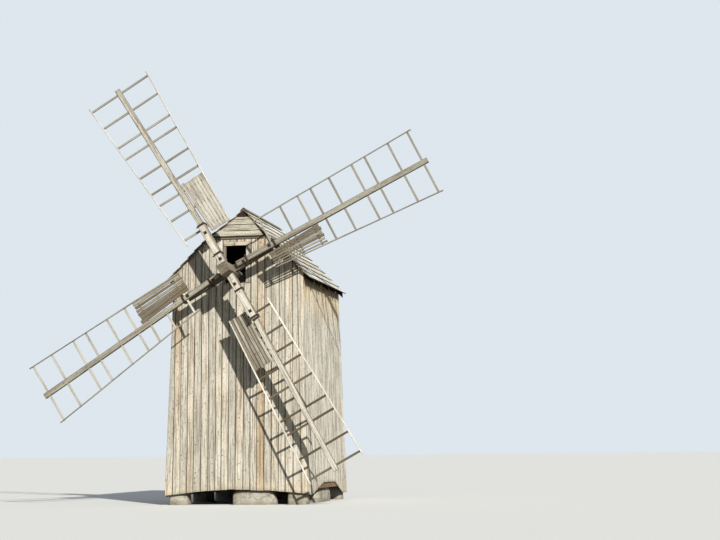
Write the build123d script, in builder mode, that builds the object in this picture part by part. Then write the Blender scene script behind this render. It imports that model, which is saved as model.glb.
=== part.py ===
"""Small timber windmill: tapering boarded body, half-hipped roof, windshaft and four lattice sails."""

from build123d import *
from math import atan, cos, degrees, radians, sin, sqrt
import os

os.makedirs("parts", exist_ok=True)

# Body, measured at ground level, with the front foundation stone's middle line at zero depth
BASE_HALF_WIDTH = 2106.5
BODY_DEPTH = 5371.0
STONE_INSET = 355.5
BASE_FRONT = -STONE_INSET
BASE_BACK = BODY_DEPTH - STONE_INSET
TAPER_WIDTH = 0.026
TAPER_DEPTH = 0.042
WALL_THICKNESS = 30.0
SIDE_FOOT = 240.0
ARCH_LEFT = 270.0
ARCH_MIDDLE = 437.0
ARCH_MIDDLE_X = -150.0
ARCH_RIGHT = 308.0
STONE_HEIGHT = 420.0

# Roof, with slopes of 45 degrees
RIDGE_HEIGHT = 8590.0
EAVE_OVER = 53.5
EAVE_HALF_WIDTH = BASE_HALF_WIDTH + EAVE_OVER
ROOF_THICKNESS = 45.0
ROOF_DROP = ROOF_THICKNESS * sqrt(2.0)
VERGE_FRONT_INSET = 175.5
VERGE_FRONT = BASE_FRONT + VERGE_FRONT_INSET
VERGE_BACK_INSET = 185.5
VERGE_BACK = BASE_BACK - VERGE_BACK_INSET
HIP_FOOT_INSET = 79.0
HIP_FOOT_Y = VERGE_FRONT + HIP_FOOT_INSET
HIP_FOOT_DROP = 901.0
HIP_FOOT_Z = RIDGE_HEIGHT - HIP_FOOT_DROP
HIP_RUN = 552.0
HIP_HEAD_Y = HIP_FOOT_Y + HIP_RUN
HIP_HEAD_DROP = 237.0
HIP_HEAD_Z = RIDGE_HEIGHT - HIP_HEAD_DROP
RIDGE_INSET = 46.0
RIDGE_FRONT = HIP_HEAD_Y + RIDGE_INSET
HIP_FOOT_HALF = 770.0
HIP_LAP = 25.0
HIP_PLATE_DROP = 149.0
HIP_PLATE_FOOT = HIP_FOOT_Z - HIP_PLATE_DROP
HIP_PLATE_HEIGHT = 100.0
HIP_RAFTER_PLACE = 420.0
HIP_RAFTER_WIDTH = 70.0
HIP_RAFTER_DEPTH = 90.0
RAFTER_WIDTH = 90.0
RAFTER_DEPTH = 110.0
RAFTER_DROP = RAFTER_DEPTH * sqrt(2.0)
RAFTER_TAIL = 60.0
RAFTER_COUNT = 5
RAFTER_FIRST_INSET = 109.0
RAFTER_FIRST = HIP_HEAD_Y + RAFTER_FIRST_INSET
RAFTER_LAST_INSET = 270.0
RAFTER_LAST = VERGE_BACK - RAFTER_LAST_INSET
RAFTER_SPACING = (RAFTER_LAST - RAFTER_FIRST) / (RAFTER_COUNT - 1)
RIDGE_CAP_WIDTH = 130.0
RIDGE_CAP_THICKNESS = 22.0

# Frame timbers
POST = 140.0
SILL_HEIGHT = 160.0
RAIL_FOOT = 3000.0
RAIL_HEIGHT = 120.0
RAIL_DEPTH = 90.0
SIDE_TOP = RIDGE_HEIGHT - EAVE_HALF_WIDTH
PLATE_HEIGHT = 140.0
PLATE_FOOT = SIDE_TOP - PLATE_HEIGHT / 2
GIRT_HEIGHT = 140.0
GIRT_DROP = 350.0
GIRT_FOOT = PLATE_FOOT - GIRT_DROP

# Side walls: the right one has a low gap at its foot
RIGHT_FOOT_FRONT = 300.0
RIGHT_FOOT_BACK = 200.0
NOTCH_FOOT_HEIGHT = 257.0
NOTCH_INSET = 472.5
NOTCH_FRONT_RUN = 1550.0
NOTCH_LENGTH = 1602.0
NOTCH_BACK_RUN = 1129.0
NOTCH_FRONT_FOOT = BASE_FRONT + NOTCH_INSET
NOTCH_FRONT_HEAD = NOTCH_FRONT_FOOT + NOTCH_FRONT_RUN
NOTCH_BACK_HEAD = NOTCH_FRONT_HEAD + NOTCH_LENGTH
NOTCH_BACK_FOOT = NOTCH_BACK_HEAD + NOTCH_BACK_RUN
NOTCH_HEAD = 580.0

# Beams and bearing blocks under the windshaft
NECK_BEAM_DEPTH = 220.0
NECK_BEAM_HEIGHT = 210.0
NECK_BEAM_TOP = GIRT_FOOT + GIRT_HEIGHT + NECK_BEAM_HEIGHT
NECK_BLOCK_INSET = 310.5
NECK_BLOCK_FRONT = BASE_FRONT + NECK_BLOCK_INSET
NECK_BLOCK_DEPTH = 180.0
NECK_BLOCK_BACK = NECK_BLOCK_FRONT + NECK_BLOCK_DEPTH
NECK_BLOCK_WIDTH = 460.0
NECK_BLOCK_HEIGHT = 195.0
NECK_BLOCK_TOP = NECK_BEAM_TOP + NECK_BLOCK_HEIGHT
TAIL_BEAM_HEIGHT = 140.0
TAIL_BEAM_TOP = GIRT_FOOT + GIRT_HEIGHT + TAIL_BEAM_HEIGHT
TAIL_BEAM_INSET = 1285.5
TAIL_BEAM_FRONT = BASE_BACK - TAIL_BEAM_INSET
TAIL_BEAM_DEPTH = 220.0
TAIL_BEAM_BACK = TAIL_BEAM_FRONT + TAIL_BEAM_DEPTH
TAIL_BLOCK_WIDTH = 360.0
TAIL_BLOCK_HEIGHT = 135.0
TAIL_BLOCK_TOP = TAIL_BEAM_TOP + TAIL_BLOCK_HEIGHT
HUB_SIDE = -60.0
HUB_FORWARD = 497.5
HUB_RISE = 232.0
HUB = Vector(HUB_SIDE, BASE_FRONT - HUB_FORWARD, NECK_BEAM_TOP + HUB_RISE)

# Hatch round the windshaft, in the front wall
HATCH_LEFT = -370.0
HATCH_RIGHT = 225.0
HATCH_DROP = 267.0
HATCH_FOOT = HUB.Z - HATCH_DROP
HATCH_BOARD = 25.0
LINTEL_HEIGHT = 130.0
HATCH_HEAD = HIP_PLATE_FOOT - LINTEL_HEIGHT
LINTEL_OVER = 70.0
JAMB_LEFT = 60.0
JAMB_RIGHT = 150.0
JAMB_GAP = 6.0

# Foundation stones: middle, length and depth of each
STONE_SIDE_INSET = 366.5
STONE_SIDE = BASE_HALF_WIDTH - STONE_SIDE_INSET
STONE_ROW = BODY_DEPTH / 2 - STONE_INSET
STONES = (
    (470.0, 0.0, 1350.0, 560.0),
    (-STONE_SIDE, 0.0, 620.0, 560.0),
    (STONE_SIDE, 0.0, 620.0, 560.0),
    (-STONE_SIDE, STONE_ROW, 560.0, 900.0),
    (STONE_SIDE, STONE_ROW, 560.0, 2200.0),
    (-STONE_SIDE, 2 * STONE_ROW, 620.0, 560.0),
    (0.0, 2 * STONE_ROW, 900.0, 560.0),
    (STONE_SIDE, 2 * STONE_ROW, 620.0, 560.0),
)
STONE_TAPER = 4.0
STONE_ROUND = 70.0

# Windshaft, whose front end is a little higher than its tail
SHAFT_TILT = 2.0
HEAD_SIZE = 300.0
HEAD_FRONT = 600.0
HEAD_BACK = 330.0
NECK_RADIUS = 130.0
NECK_OVER = 312.0
NECK_END = NECK_BLOCK_BACK - HUB.Y + NECK_OVER
SHAFT_RADIUS = 120.0
SHAFT_SHORT = 83.0
SHAFT_END = TAIL_BEAM_FRONT - HUB.Y - SHAFT_SHORT
TAIL_RADIUS = 80.0
TAIL_OVER = 47.0
TAIL_END = TAIL_BEAM_BACK - HUB.Y + TAIL_OVER
BEARING_GAP = 0.3

# Stocks and whips
STOCK_WIDTH = 220.0
STOCK_DEPTH = 170.0
STOCK_ENDS = {"front": (1560.0, 1620.0), "rear": (1600.0, 1600.0)}
STOCK_ANGLES = {"front": 120.43, "rear": 29.86}
WHIP_DEPTH = 120.0
WHIP_ROOT = 300.0
WHIP_TIP = 6451.0
WHIP_ROOT_WIDTHS = {"front": 178.0, "rear": 162.0}
WHIP_TIP_WIDTH = 162.0
WHIP_TIP_DEPTH = 70.0
WHIP_TAPER_START = 1640.0
WHIP_PIVOT = 1070.0

# Sail bars and rods
BAR_RADII = (6305.0, 5674.0, 4919.0, 4494.0, 3758.0, 3151.0, 2731.0, 2153.0, 1452.0)
BAR_WIDTH = 66.0
BAR_THICKNESS = 34.0
BAR_OVER = 12.0
ROD_WIDTH = 45.0
ROD_THICKNESS = 35.0
ROD_NOTCH = 8.0
ROD_OUTER_OVER = 125.0
ROD_INNER_OVER = 200.0
TWIST_MIDDLE = 6.17
TWIST_RATE = -1.27
TWIST_RADIUS = 3500.0
REACH_RADIUS = 4000.0

# Sail boards, on the trailing side near the hub
BOARD_ROOT = 1260.0
BOARD_TIP = 2925.0
BOARD_GAP = 12.0
BOARD_CLEAR = 42.0
BOARD_THICKNESS = 22.0
BOARD_COUNT = 6
BOARD_SINK = 2.0

# Irons at each lap of whip and stock
STRAP_WIDTH = 60.0
STRAP_THICKNESS = 8.0
BOLT_RADIUS = 10.0
BOLT_HEAD_RADIUS = 22.0
BOLT_HEAD = 16.0

# Each sail: stock, angle from +X seen from the front, and its half widths at 4 m with their growth
SAILS = {
    "upper_left": ("front", 0.0, 122.22, (835.0, 0.065), (886.0, 0.051)),
    "lower_right": ("front", 180.0, 298.93, (742.0, 0.052), (778.0, 0.019)),
    "upper_right": ("rear", 0.0, 27.28, (917.0, 0.030), (805.0, 0.071)),
    "lower_left": ("rear", 180.0, 212.62, (745.0, 0.072), (868.0, 0.034)),
}

# Each lap: radii of its straps and of its bolts
IRONS = {
    "upper_left": ((550.0, 1525.0), (370.0, 1257.0)),
    "lower_right": ((675.0, 1575.0), (477.0, 1380.0)),
    "upper_right": ((620.0, 1535.0), (510.0, 1375.0)),
    "lower_left": ((620.0, 1535.0), (510.0, 1375.0)),
}

FORWARD = Vector(0, -cos(radians(SHAFT_TILT)), sin(radians(SHAFT_TILT)))
ROTOR_X = Vector(1, 0, 0)
ROTOR_Y = FORWARD.cross(ROTOR_X)
WIDE = RIDGE_HEIGHT + BODY_DEPTH


def corner(sign_x, sign_y, height, inset):
    """Corner of the body at a height, set in from the outer faces."""
    width = BASE_HALF_WIDTH - TAPER_WIDTH * height - inset
    base = BASE_FRONT if sign_y < 0 else BASE_BACK
    return sign_x * width, base - sign_y * (TAPER_DEPTH * height + inset)


def wall_plane(side, inset):
    """Leaning plane parallel to one wall's outer face, its normal pointing out."""
    sign_x, sign_y = {"front": (0, -1), "back": (0, 1), "left": (-1, 0), "right": (1, 0)}[side]
    width, depth = corner(sign_x, sign_y, 0.0, inset)
    along = Vector(abs(sign_y), abs(sign_x), 0)
    lean = TAPER_WIDTH if sign_x else TAPER_DEPTH
    place = (width, 0, 0) if sign_x else (0, depth, 0)
    return Plane(origin=place, x_dir=along, z_dir=Vector(sign_x, sign_y, lean))


def tapered_block(bottom, top, inset):
    """Solid of the body's own shape between two heights, set in from its outer faces."""
    with BuildPart() as block:
        with BuildSketch(Plane.XY.offset(bottom)):
            with Locations((0, (BASE_FRONT + BASE_BACK) / 2)):
                Rectangle(2 * BASE_HALF_WIDTH, BASE_BACK - BASE_FRONT)
        extrude(amount=top - bottom)
        for side in ("front", "back", "left", "right"):
            split(bisect_by=wall_plane(side, inset), keep=Keep.BOTTOM)
    return block.part


def tapered_ring(bottom, top, inset, depth):
    """Band of a given depth that follows the four leaning walls."""
    outer = tapered_block(bottom, top, inset)
    inner = tapered_block(bottom, top, inset + depth)
    with BuildPart() as ring:
        add(outer)
        add(inner, mode=Mode.SUBTRACT)
    return ring.part


def under_roof(drop):
    """Space under a pair of 45 degree planes, a drop below the roof's outer faces."""
    low = SIDE_FOOT / 2
    eave = EAVE_HALF_WIDTH + POST
    with BuildPart() as space:
        with BuildSketch(Plane.XZ):
            with BuildLine():
                Polyline(
                    (-eave, low),
                    (eave, low),
                    (eave, RIDGE_HEIGHT - drop - eave),
                    (0, RIDGE_HEIGHT - drop),
                    (-eave, RIDGE_HEIGHT - drop - eave),
                    close=True,
                )
            make_face()
        extrude(amount=WIDE / 2, both=True)
    return space.part


HIP_RISE = Vector(0, HIP_HEAD_Y - HIP_FOOT_Y, HIP_HEAD_Z - HIP_FOOT_Z)
HIP_PLANE = Plane(
    origin=(0, HIP_FOOT_Y, HIP_FOOT_Z),
    x_dir=(1, 0, 0),
    z_dir=Vector(1, 0, 0).cross(HIP_RISE),
)


# Corner posts
with BuildPart() as corner_posts:
    lean = sqrt(1 + TAPER_WIDTH**2 + TAPER_DEPTH**2)
    for sign_x in (-1, 1):
        for sign_y in (-1, 1):
            place = corner(sign_x, sign_y, STONE_HEIGHT, WALL_THICKNESS + POST / 2)
            with BuildSketch(Plane.XY.offset(STONE_HEIGHT)):
                with Locations(place):
                    Rectangle(POST, POST)
            rise = Vector(-sign_x * TAPER_WIDTH, -sign_y * TAPER_DEPTH, 1)
            extrude(amount=(PLATE_FOOT - STONE_HEIGHT) * lean, dir=rise)
corner_posts.part.label = "corner_posts"
export_step(corner_posts.part, "parts/corner_posts.step")


# Beams between the posts, at the foot, the middle and under the windshaft
def band_between_posts(bottom, height, depth):
    """Four beams that follow the walls at one level and end at the posts."""
    ring = tapered_ring(bottom, bottom + height, WALL_THICKNESS, depth)
    with BuildPart() as beams:
        add(ring)
        add(corner_posts.part, mode=Mode.SUBTRACT)
    return beams.part


sill_band = band_between_posts(STONE_HEIGHT, SILL_HEIGHT, POST)
with BuildPart() as sill_beams:
    add(sill_band)
sill_beams.part.label = "sill_beams"
export_step(sill_beams.part, "parts/sill_beams.step")

rail_band = band_between_posts(RAIL_FOOT, RAIL_HEIGHT, RAIL_DEPTH)
with BuildPart() as middle_rails:
    add(rail_band)
middle_rails.part.label = "middle_rails"
export_step(middle_rails.part, "parts/middle_rails.step")

girt_band = band_between_posts(GIRT_FOOT, GIRT_HEIGHT, POST)
with BuildPart() as upper_girts:
    add(girt_band)
upper_girts.part.label = "upper_girts"
export_step(upper_girts.part, "parts/upper_girts.step")


# Wall plates on the posts, left and right, under the rafters
def wall_plate(side):
    """Beam along one side wall at the top of its posts."""
    level = tapered_block(PLATE_FOOT, PLATE_FOOT + PLATE_HEIGHT, WALL_THICKNESS)
    with BuildPart() as plate:
        add(level)
        split(bisect_by=wall_plane(side, WALL_THICKNESS + POST), keep=Keep.TOP)
    return plate.part


left_plate = wall_plate("left")
right_plate = wall_plate("right")
with BuildPart() as wall_plates:
    add(left_plate)
    add(right_plate)
wall_plates.part.label = "wall_plates"
export_step(wall_plates.part, "parts/wall_plates.step")


# Rafters, five pairs, seated on the plates
with BuildPart() as rafters:
    tail = EAVE_HALF_WIDTH - RAFTER_TAIL
    top = RIDGE_HEIGHT - ROOF_DROP
    bottom = top - RAFTER_DROP
    for count in range(RAFTER_COUNT):
        place = RAFTER_FIRST + count * RAFTER_SPACING
        with BuildSketch(Plane.XZ.offset(-place)):
            with BuildLine():
                Polyline(
                    (-tail, top - tail),
                    (0, top),
                    (tail, top - tail),
                    (tail, bottom - tail),
                    (0, bottom),
                    (-tail, bottom - tail),
                    close=True,
                )
            make_face()
        extrude(amount=RAFTER_WIDTH / 2, both=True)
    add(wall_plates.part, mode=Mode.SUBTRACT)
rafters.part.label = "rafters"
export_step(rafters.part, "parts/rafters.step")


# Roof slopes, cut back along the half hip
def roof_slope(sign):
    """One slope of boards from ridge to eave."""
    inner = ROOF_THICKNESS / sqrt(2.0)
    eave_height = RIDGE_HEIGHT - EAVE_HALF_WIDTH
    lap = HIP_LAP / HIP_PLANE.z_dir.Y
    hip_pitch = (HIP_HEAD_Z - HIP_FOOT_Z) / (HIP_HEAD_Y - HIP_FOOT_Y)
    lap_height = HIP_FOOT_Z + (VERGE_FRONT - HIP_FOOT_Y - lap) * hip_pitch
    with BuildPart() as slope:
        with BuildSketch(Plane.XZ.offset(-VERGE_BACK)):
            with BuildLine():
                Polyline(
                    (0, RIDGE_HEIGHT),
                    (sign * EAVE_HALF_WIDTH, eave_height),
                    (sign * (EAVE_HALF_WIDTH - inner), eave_height - inner),
                    (0, RIDGE_HEIGHT - ROOF_DROP),
                    close=True,
                )
            make_face()
        extrude(amount=VERGE_BACK - VERGE_FRONT)
        with BuildSketch(Plane.YZ):
            with BuildLine():
                Polyline(
                    (VERGE_FRONT, lap_height),
                    (HIP_HEAD_Y + lap, HIP_HEAD_Z),
                    (RIDGE_FRONT, RIDGE_HEIGHT),
                    (RIDGE_FRONT, WIDE),
                    (-WIDE, WIDE),
                    (-WIDE, lap_height),
                    close=True,
                )
            make_face()
        extrude(amount=WIDE, both=True, mode=Mode.SUBTRACT)
    return slope.part


left_slope = roof_slope(-1)
with BuildPart() as roof_left:
    add(left_slope)
roof_left.part.label = "roof_left"
export_step(roof_left.part, "parts/roof_left.step")

right_slope = roof_slope(1)
with BuildPart() as roof_right:
    add(right_slope)
roof_right.part.label = "roof_right"
export_step(roof_right.part, "parts/roof_right.step")


# Half hip over the front wall
room_under_boards = under_roof(ROOF_DROP)
with BuildPart() as roof_hip:
    hip_length = HIP_RISE.length
    head_half = RIDGE_HEIGHT - ROOF_DROP - HIP_HEAD_Z
    with BuildSketch(HIP_PLANE):
        with BuildLine():
            Polyline(
                (-HIP_FOOT_HALF, 0),
                (HIP_FOOT_HALF, 0),
                (head_half, hip_length),
                (-head_half, hip_length),
                close=True,
            )
        make_face()
    extrude(amount=-ROOF_THICKNESS)
    add(room_under_boards, mode=Mode.INTERSECT)
roof_hip.part.label = "roof_hip"
export_step(roof_hip.part, "parts/roof_hip.step")


# Plate and rafters that carry the half hip from inside
hip_level = tapered_block(HIP_PLATE_FOOT, HIP_PLATE_FOOT + HIP_PLATE_HEIGHT, WALL_THICKNESS)
with BuildPart() as hip_plate:
    add(hip_level)
    split(bisect_by=wall_plane("front", WALL_THICKNESS + RAFTER_WIDTH), keep=Keep.TOP)
    add(room_under_boards, mode=Mode.INTERSECT)
hip_plate.part.label = "hip_plate"
export_step(hip_plate.part, "parts/hip_plate.step")

with BuildPart() as hip_rafters:
    with BuildSketch(HIP_PLANE.offset(-ROOF_THICKNESS)):
        with Locations((-HIP_RAFTER_PLACE, hip_length / 2), (HIP_RAFTER_PLACE, hip_length / 2)):
            Rectangle(HIP_RAFTER_WIDTH, 2 * hip_length)
    extrude(amount=-HIP_RAFTER_DEPTH)
    add(room_under_boards, mode=Mode.INTERSECT)
    split(bisect_by=wall_plane("front", WALL_THICKNESS), keep=Keep.BOTTOM)
    add(hip_plate.part, mode=Mode.SUBTRACT)
hip_rafters.part.label = "hip_rafters"
export_step(hip_rafters.part, "parts/hip_rafters.step")


# Ridge cap, two boards over the top edge of the slopes
with BuildPart() as ridge_cap:
    cap_drop = RIDGE_CAP_WIDTH / sqrt(2.0)
    cap_rise = RIDGE_CAP_THICKNESS * sqrt(2.0)
    cap_side = RIDGE_CAP_THICKNESS / sqrt(2.0)
    with BuildSketch(Plane.XZ.offset(-VERGE_BACK)):
        with BuildLine():
            Polyline(
                (0, RIDGE_HEIGHT),
                (cap_drop, RIDGE_HEIGHT - cap_drop),
                (cap_drop + cap_side, RIDGE_HEIGHT - cap_drop + cap_side),
                (0, RIDGE_HEIGHT + cap_rise),
                (-cap_drop - cap_side, RIDGE_HEIGHT - cap_drop + cap_side),
                (-cap_drop, RIDGE_HEIGHT - cap_drop),
                close=True,
            )
        make_face()
    extrude(amount=VERGE_BACK - RIDGE_FRONT)
ridge_cap.part.label = "ridge_cap"
export_step(ridge_cap.part, "parts/ridge_cap.step")


# Front wall, one plane from the ground to the half hip, in four panels round the hatch
def front_wall_shell():
    """Whole front wall before it is divided at the hatch."""
    ring = tapered_ring(SIDE_FOOT / 2, RIDGE_HEIGHT, 0.0, WALL_THICKNESS)
    with BuildPart() as shell:
        add(ring)
        split(bisect_by=wall_plane("front", WALL_THICKNESS), keep=Keep.TOP)
        add(room_under_boards, mode=Mode.INTERSECT)
        split(bisect_by=HIP_PLANE.offset(-ROOF_THICKNESS), keep=Keep.BOTTOM)
        with BuildSketch(Plane.XZ):
            with BuildLine():
                Line((-BASE_HALF_WIDTH, ARCH_LEFT), (-BASE_HALF_WIDTH, 0))
                Line((-BASE_HALF_WIDTH, 0), (BASE_HALF_WIDTH, 0))
                Line((BASE_HALF_WIDTH, 0), (BASE_HALF_WIDTH, ARCH_RIGHT))
                ThreePointArc(
                    (BASE_HALF_WIDTH, ARCH_RIGHT),
                    (ARCH_MIDDLE_X, ARCH_MIDDLE),
                    (-BASE_HALF_WIDTH, ARCH_LEFT),
                )
            make_face()
        extrude(amount=WIDE / 2, both=True, mode=Mode.SUBTRACT)
    return shell.part


front_shell = front_wall_shell()
with BuildPart() as front_wall_left:
    add(front_shell)
    split(bisect_by=Plane.YZ.offset(HATCH_LEFT), keep=Keep.BOTTOM)
front_wall_left.part.label = "front_wall_left"
export_step(front_wall_left.part, "parts/front_wall_left.step")

with BuildPart() as front_wall_right:
    add(front_shell)
    split(bisect_by=Plane.YZ.offset(HATCH_RIGHT), keep=Keep.TOP)
front_wall_right.part.label = "front_wall_right"
export_step(front_wall_right.part, "parts/front_wall_right.step")

with BuildPart() as front_wall_below:
    add(front_shell)
    split(bisect_by=Plane.YZ.offset(HATCH_LEFT), keep=Keep.TOP)
    split(bisect_by=Plane.YZ.offset(HATCH_RIGHT), keep=Keep.BOTTOM)
    split(bisect_by=Plane.XY.offset(HATCH_FOOT), keep=Keep.BOTTOM)
front_wall_below.part.label = "front_wall_below"
export_step(front_wall_below.part, "parts/front_wall_below.step")

with BuildPart() as front_wall_above:
    add(front_shell)
    split(bisect_by=Plane.YZ.offset(HATCH_LEFT), keep=Keep.TOP)
    split(bisect_by=Plane.YZ.offset(HATCH_RIGHT), keep=Keep.BOTTOM)
    split(bisect_by=Plane.XY.offset(HATCH_HEAD), keep=Keep.TOP)
front_wall_above.part.label = "front_wall_above"
export_step(front_wall_above.part, "parts/front_wall_above.step")


# Back wall, a whole gable
back_ring = tapered_ring(SIDE_FOOT, RIDGE_HEIGHT, 0.0, WALL_THICKNESS)
with BuildPart() as back_wall:
    add(back_ring)
    split(bisect_by=wall_plane("back", WALL_THICKNESS), keep=Keep.TOP)
    add(room_under_boards, mode=Mode.INTERSECT)
back_wall.part.label = "back_wall"
export_step(back_wall.part, "parts/back_wall.step")


# Side walls, up to the underside of the rafters, with a low gap at the foot of the right one
side_ring = tapered_ring(RIGHT_FOOT_BACK, SIDE_TOP, 0.0, WALL_THICKNESS)


def side_wall(keep):
    """One side wall between the front and back walls."""
    with BuildPart() as panel:
        add(side_ring)
        split(bisect_by=wall_plane("front", WALL_THICKNESS), keep=Keep.BOTTOM)
        split(bisect_by=wall_plane("back", WALL_THICKNESS), keep=Keep.BOTTOM)
        split(bisect_by=Plane.YZ, keep=keep)
    return panel.part


left_panel = side_wall(Keep.BOTTOM)
with BuildPart() as left_wall:
    add(left_panel)
    split(bisect_by=Plane.XY.offset(SIDE_FOOT), keep=Keep.TOP)
left_wall.part.label = "left_wall"
export_step(left_wall.part, "parts/left_wall.step")

right_panel = side_wall(Keep.TOP)
with BuildPart() as right_wall:
    add(right_panel)
    with BuildSketch(Plane.YZ):
        with BuildLine():
            Polyline(
                (BASE_FRONT, RIGHT_FOOT_FRONT),
                (NOTCH_FRONT_FOOT, NOTCH_FOOT_HEIGHT),
                (NOTCH_FRONT_HEAD, NOTCH_HEAD),
                (NOTCH_BACK_HEAD, NOTCH_HEAD),
                (NOTCH_BACK_FOOT, RIGHT_FOOT_BACK),
                (NOTCH_BACK_FOOT, 0),
                (BASE_FRONT, 0),
                close=True,
            )
        make_face()
    extrude(amount=WIDE / 2, both=True, mode=Mode.SUBTRACT)
right_wall.part.label = "right_wall"
export_step(right_wall.part, "parts/right_wall.step")


# Boards round the hatch, on the face of the front wall
with BuildPart() as hatch_boards:
    lintel_middle = (HATCH_LEFT - LINTEL_OVER + HATCH_RIGHT + JAMB_RIGHT) / 2
    lintel_length = HATCH_RIGHT + JAMB_RIGHT - HATCH_LEFT + LINTEL_OVER
    hatch_height = HATCH_HEAD - HATCH_FOOT - 2 * JAMB_GAP
    hatch_middle = (HATCH_HEAD + HATCH_FOOT) / 2
    with BuildSketch(wall_plane("front", 0.0)):
        with Locations((lintel_middle, HATCH_HEAD + LINTEL_HEIGHT / 2)):
            Rectangle(lintel_length, LINTEL_HEIGHT)
        with Locations((HATCH_LEFT - JAMB_LEFT / 2, hatch_middle)):
            Rectangle(JAMB_LEFT, hatch_height)
        with Locations((HATCH_RIGHT + JAMB_RIGHT / 2, hatch_middle)):
            Rectangle(JAMB_RIGHT, hatch_height)
    extrude(amount=HATCH_BOARD)
hatch_boards.part.label = "hatch_boards"
export_step(hatch_boards.part, "parts/hatch_boards.step")


# Rotor planes
def arm_plane(angle):
    """Plane through the hub, its x along an arm and its normal along the shaft."""
    turn = radians(angle)
    along = ROTOR_X * cos(turn) + ROTOR_Y * sin(turn)
    return Plane(origin=HUB, x_dir=along, z_dir=FORWARD)


# Windshaft
SHAFT_PLANE = arm_plane(STOCK_ANGLES["rear"])
with BuildPart() as windshaft:
    with BuildSketch(SHAFT_PLANE.offset(-HEAD_BACK)):
        Rectangle(HEAD_SIZE, HEAD_SIZE)
    extrude(amount=HEAD_BACK + HEAD_FRONT)
    with BuildSketch(SHAFT_PLANE.offset(-NECK_END)):
        Circle(NECK_RADIUS)
    extrude(amount=NECK_END - HEAD_BACK)
    with BuildSketch(SHAFT_PLANE.offset(-SHAFT_END)):
        Circle(SHAFT_RADIUS)
    extrude(amount=SHAFT_END - NECK_END)
    with BuildSketch(SHAFT_PLANE.offset(-TAIL_END)):
        Circle(TAIL_RADIUS)
    extrude(amount=TAIL_END - SHAFT_END)
    with BuildSketch(arm_plane(STOCK_ANGLES["front"]).offset(WHIP_DEPTH / 2)):
        Rectangle(WIDE, STOCK_WIDTH)
    extrude(amount=STOCK_DEPTH, mode=Mode.SUBTRACT)
    with BuildSketch(arm_plane(STOCK_ANGLES["rear"]).offset(-WHIP_DEPTH / 2)):
        Rectangle(WIDE, STOCK_WIDTH)
    extrude(amount=-STOCK_DEPTH, mode=Mode.SUBTRACT)
windshaft.part.label = "windshaft"
export_step(windshaft.part, "parts/windshaft.step")


# Neck beam and tail beam that carry the windshaft
neck_level = tapered_block(GIRT_FOOT + GIRT_HEIGHT, NECK_BEAM_TOP, WALL_THICKNESS)
with BuildPart() as neck_beam:
    add(neck_level)
    split(bisect_by=wall_plane("front", WALL_THICKNESS + NECK_BEAM_DEPTH), keep=Keep.TOP)
    add(corner_posts.part, mode=Mode.SUBTRACT)
neck_beam.part.label = "neck_beam"
export_step(neck_beam.part, "parts/neck_beam.step")

tail_level = tapered_block(GIRT_FOOT + GIRT_HEIGHT, TAIL_BEAM_TOP, WALL_THICKNESS)
with BuildPart() as tail_beam:
    add(tail_level)
    split(bisect_by=Plane.XZ.offset(-TAIL_BEAM_FRONT), keep=Keep.BOTTOM)
    split(bisect_by=Plane.XZ.offset(-TAIL_BEAM_BACK), keep=Keep.TOP)
tail_beam.part.label = "tail_beam"
export_step(tail_beam.part, "parts/tail_beam.step")


# Bearing blocks, each hollowed to the shaft
with BuildPart() as shaft_bearings:
    with BuildSketch(Plane.XY.offset(NECK_BEAM_TOP)):
        with Locations((HUB.X, (NECK_BLOCK_FRONT + NECK_BLOCK_BACK) / 2)):
            Rectangle(NECK_BLOCK_WIDTH, NECK_BLOCK_BACK - NECK_BLOCK_FRONT)
    extrude(amount=NECK_BLOCK_TOP - NECK_BEAM_TOP)
    with BuildSketch(Plane.XY.offset(TAIL_BEAM_TOP)):
        with Locations((HUB.X, (TAIL_BEAM_FRONT + TAIL_BEAM_BACK) / 2)):
            Rectangle(TAIL_BLOCK_WIDTH, TAIL_BEAM_BACK - TAIL_BEAM_FRONT)
    extrude(amount=TAIL_BLOCK_TOP - TAIL_BEAM_TOP)
    with BuildSketch(SHAFT_PLANE.offset(-NECK_END)):
        Circle(NECK_RADIUS + BEARING_GAP)
    extrude(amount=NECK_END, mode=Mode.SUBTRACT)
    with BuildSketch(SHAFT_PLANE.offset(-TAIL_END)):
        Circle(TAIL_RADIUS + BEARING_GAP)
    extrude(amount=TAIL_END - SHAFT_END + SHAFT_RADIUS, mode=Mode.SUBTRACT)
shaft_bearings.part.label = "shaft_bearings"
export_step(shaft_bearings.part, "parts/shaft_bearings.step")


# Whips, bars, rods and boards of each sail
def sail_planes(name):
    """Whip plane, whose x runs out along the whip from the hub's level."""
    stock, half_turn, angle, ahead, behind = SAILS[name]
    stock_angle = STOCK_ANGLES[stock] + half_turn
    turn = radians(angle - stock_angle)
    sweep = degrees(atan(WHIP_TIP * sin(turn) / (WHIP_TIP * cos(turn) - WHIP_PIVOT)))
    pivot = arm_plane(stock_angle)
    start = pivot.origin + pivot.x_dir * WHIP_PIVOT
    along = arm_plane(stock_angle + sweep)
    return Plane(origin=start - along.x_dir * WHIP_PIVOT, x_dir=along.x_dir, z_dir=FORWARD)


def twist(radius):
    """Angle between a bar and the plane of rotation, at a radius."""
    return radians(TWIST_MIDDLE + TWIST_RATE * (radius - TWIST_RADIUS) / 1000.0)


def reach(half, radius):
    """Half width of a sail at a radius, from its half width at 4 m and its growth."""
    return half[0] + half[1] * (radius - REACH_RADIUS)


def bar_point(plane, radius, across):
    """Point on the middle line of the bar at a radius."""
    offset = Vector(radius, across * cos(twist(radius)), across * sin(twist(radius)))
    return plane.from_local_coords(offset)


def whip_half(stock, radius):
    """Half width of a stock's whips at a radius."""
    share = (radius - WHIP_ROOT) / (WHIP_TIP - WHIP_ROOT)
    root_width = WHIP_ROOT_WIDTHS[stock]
    return (root_width + (WHIP_TIP_WIDTH - root_width) * share) / 2


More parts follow.
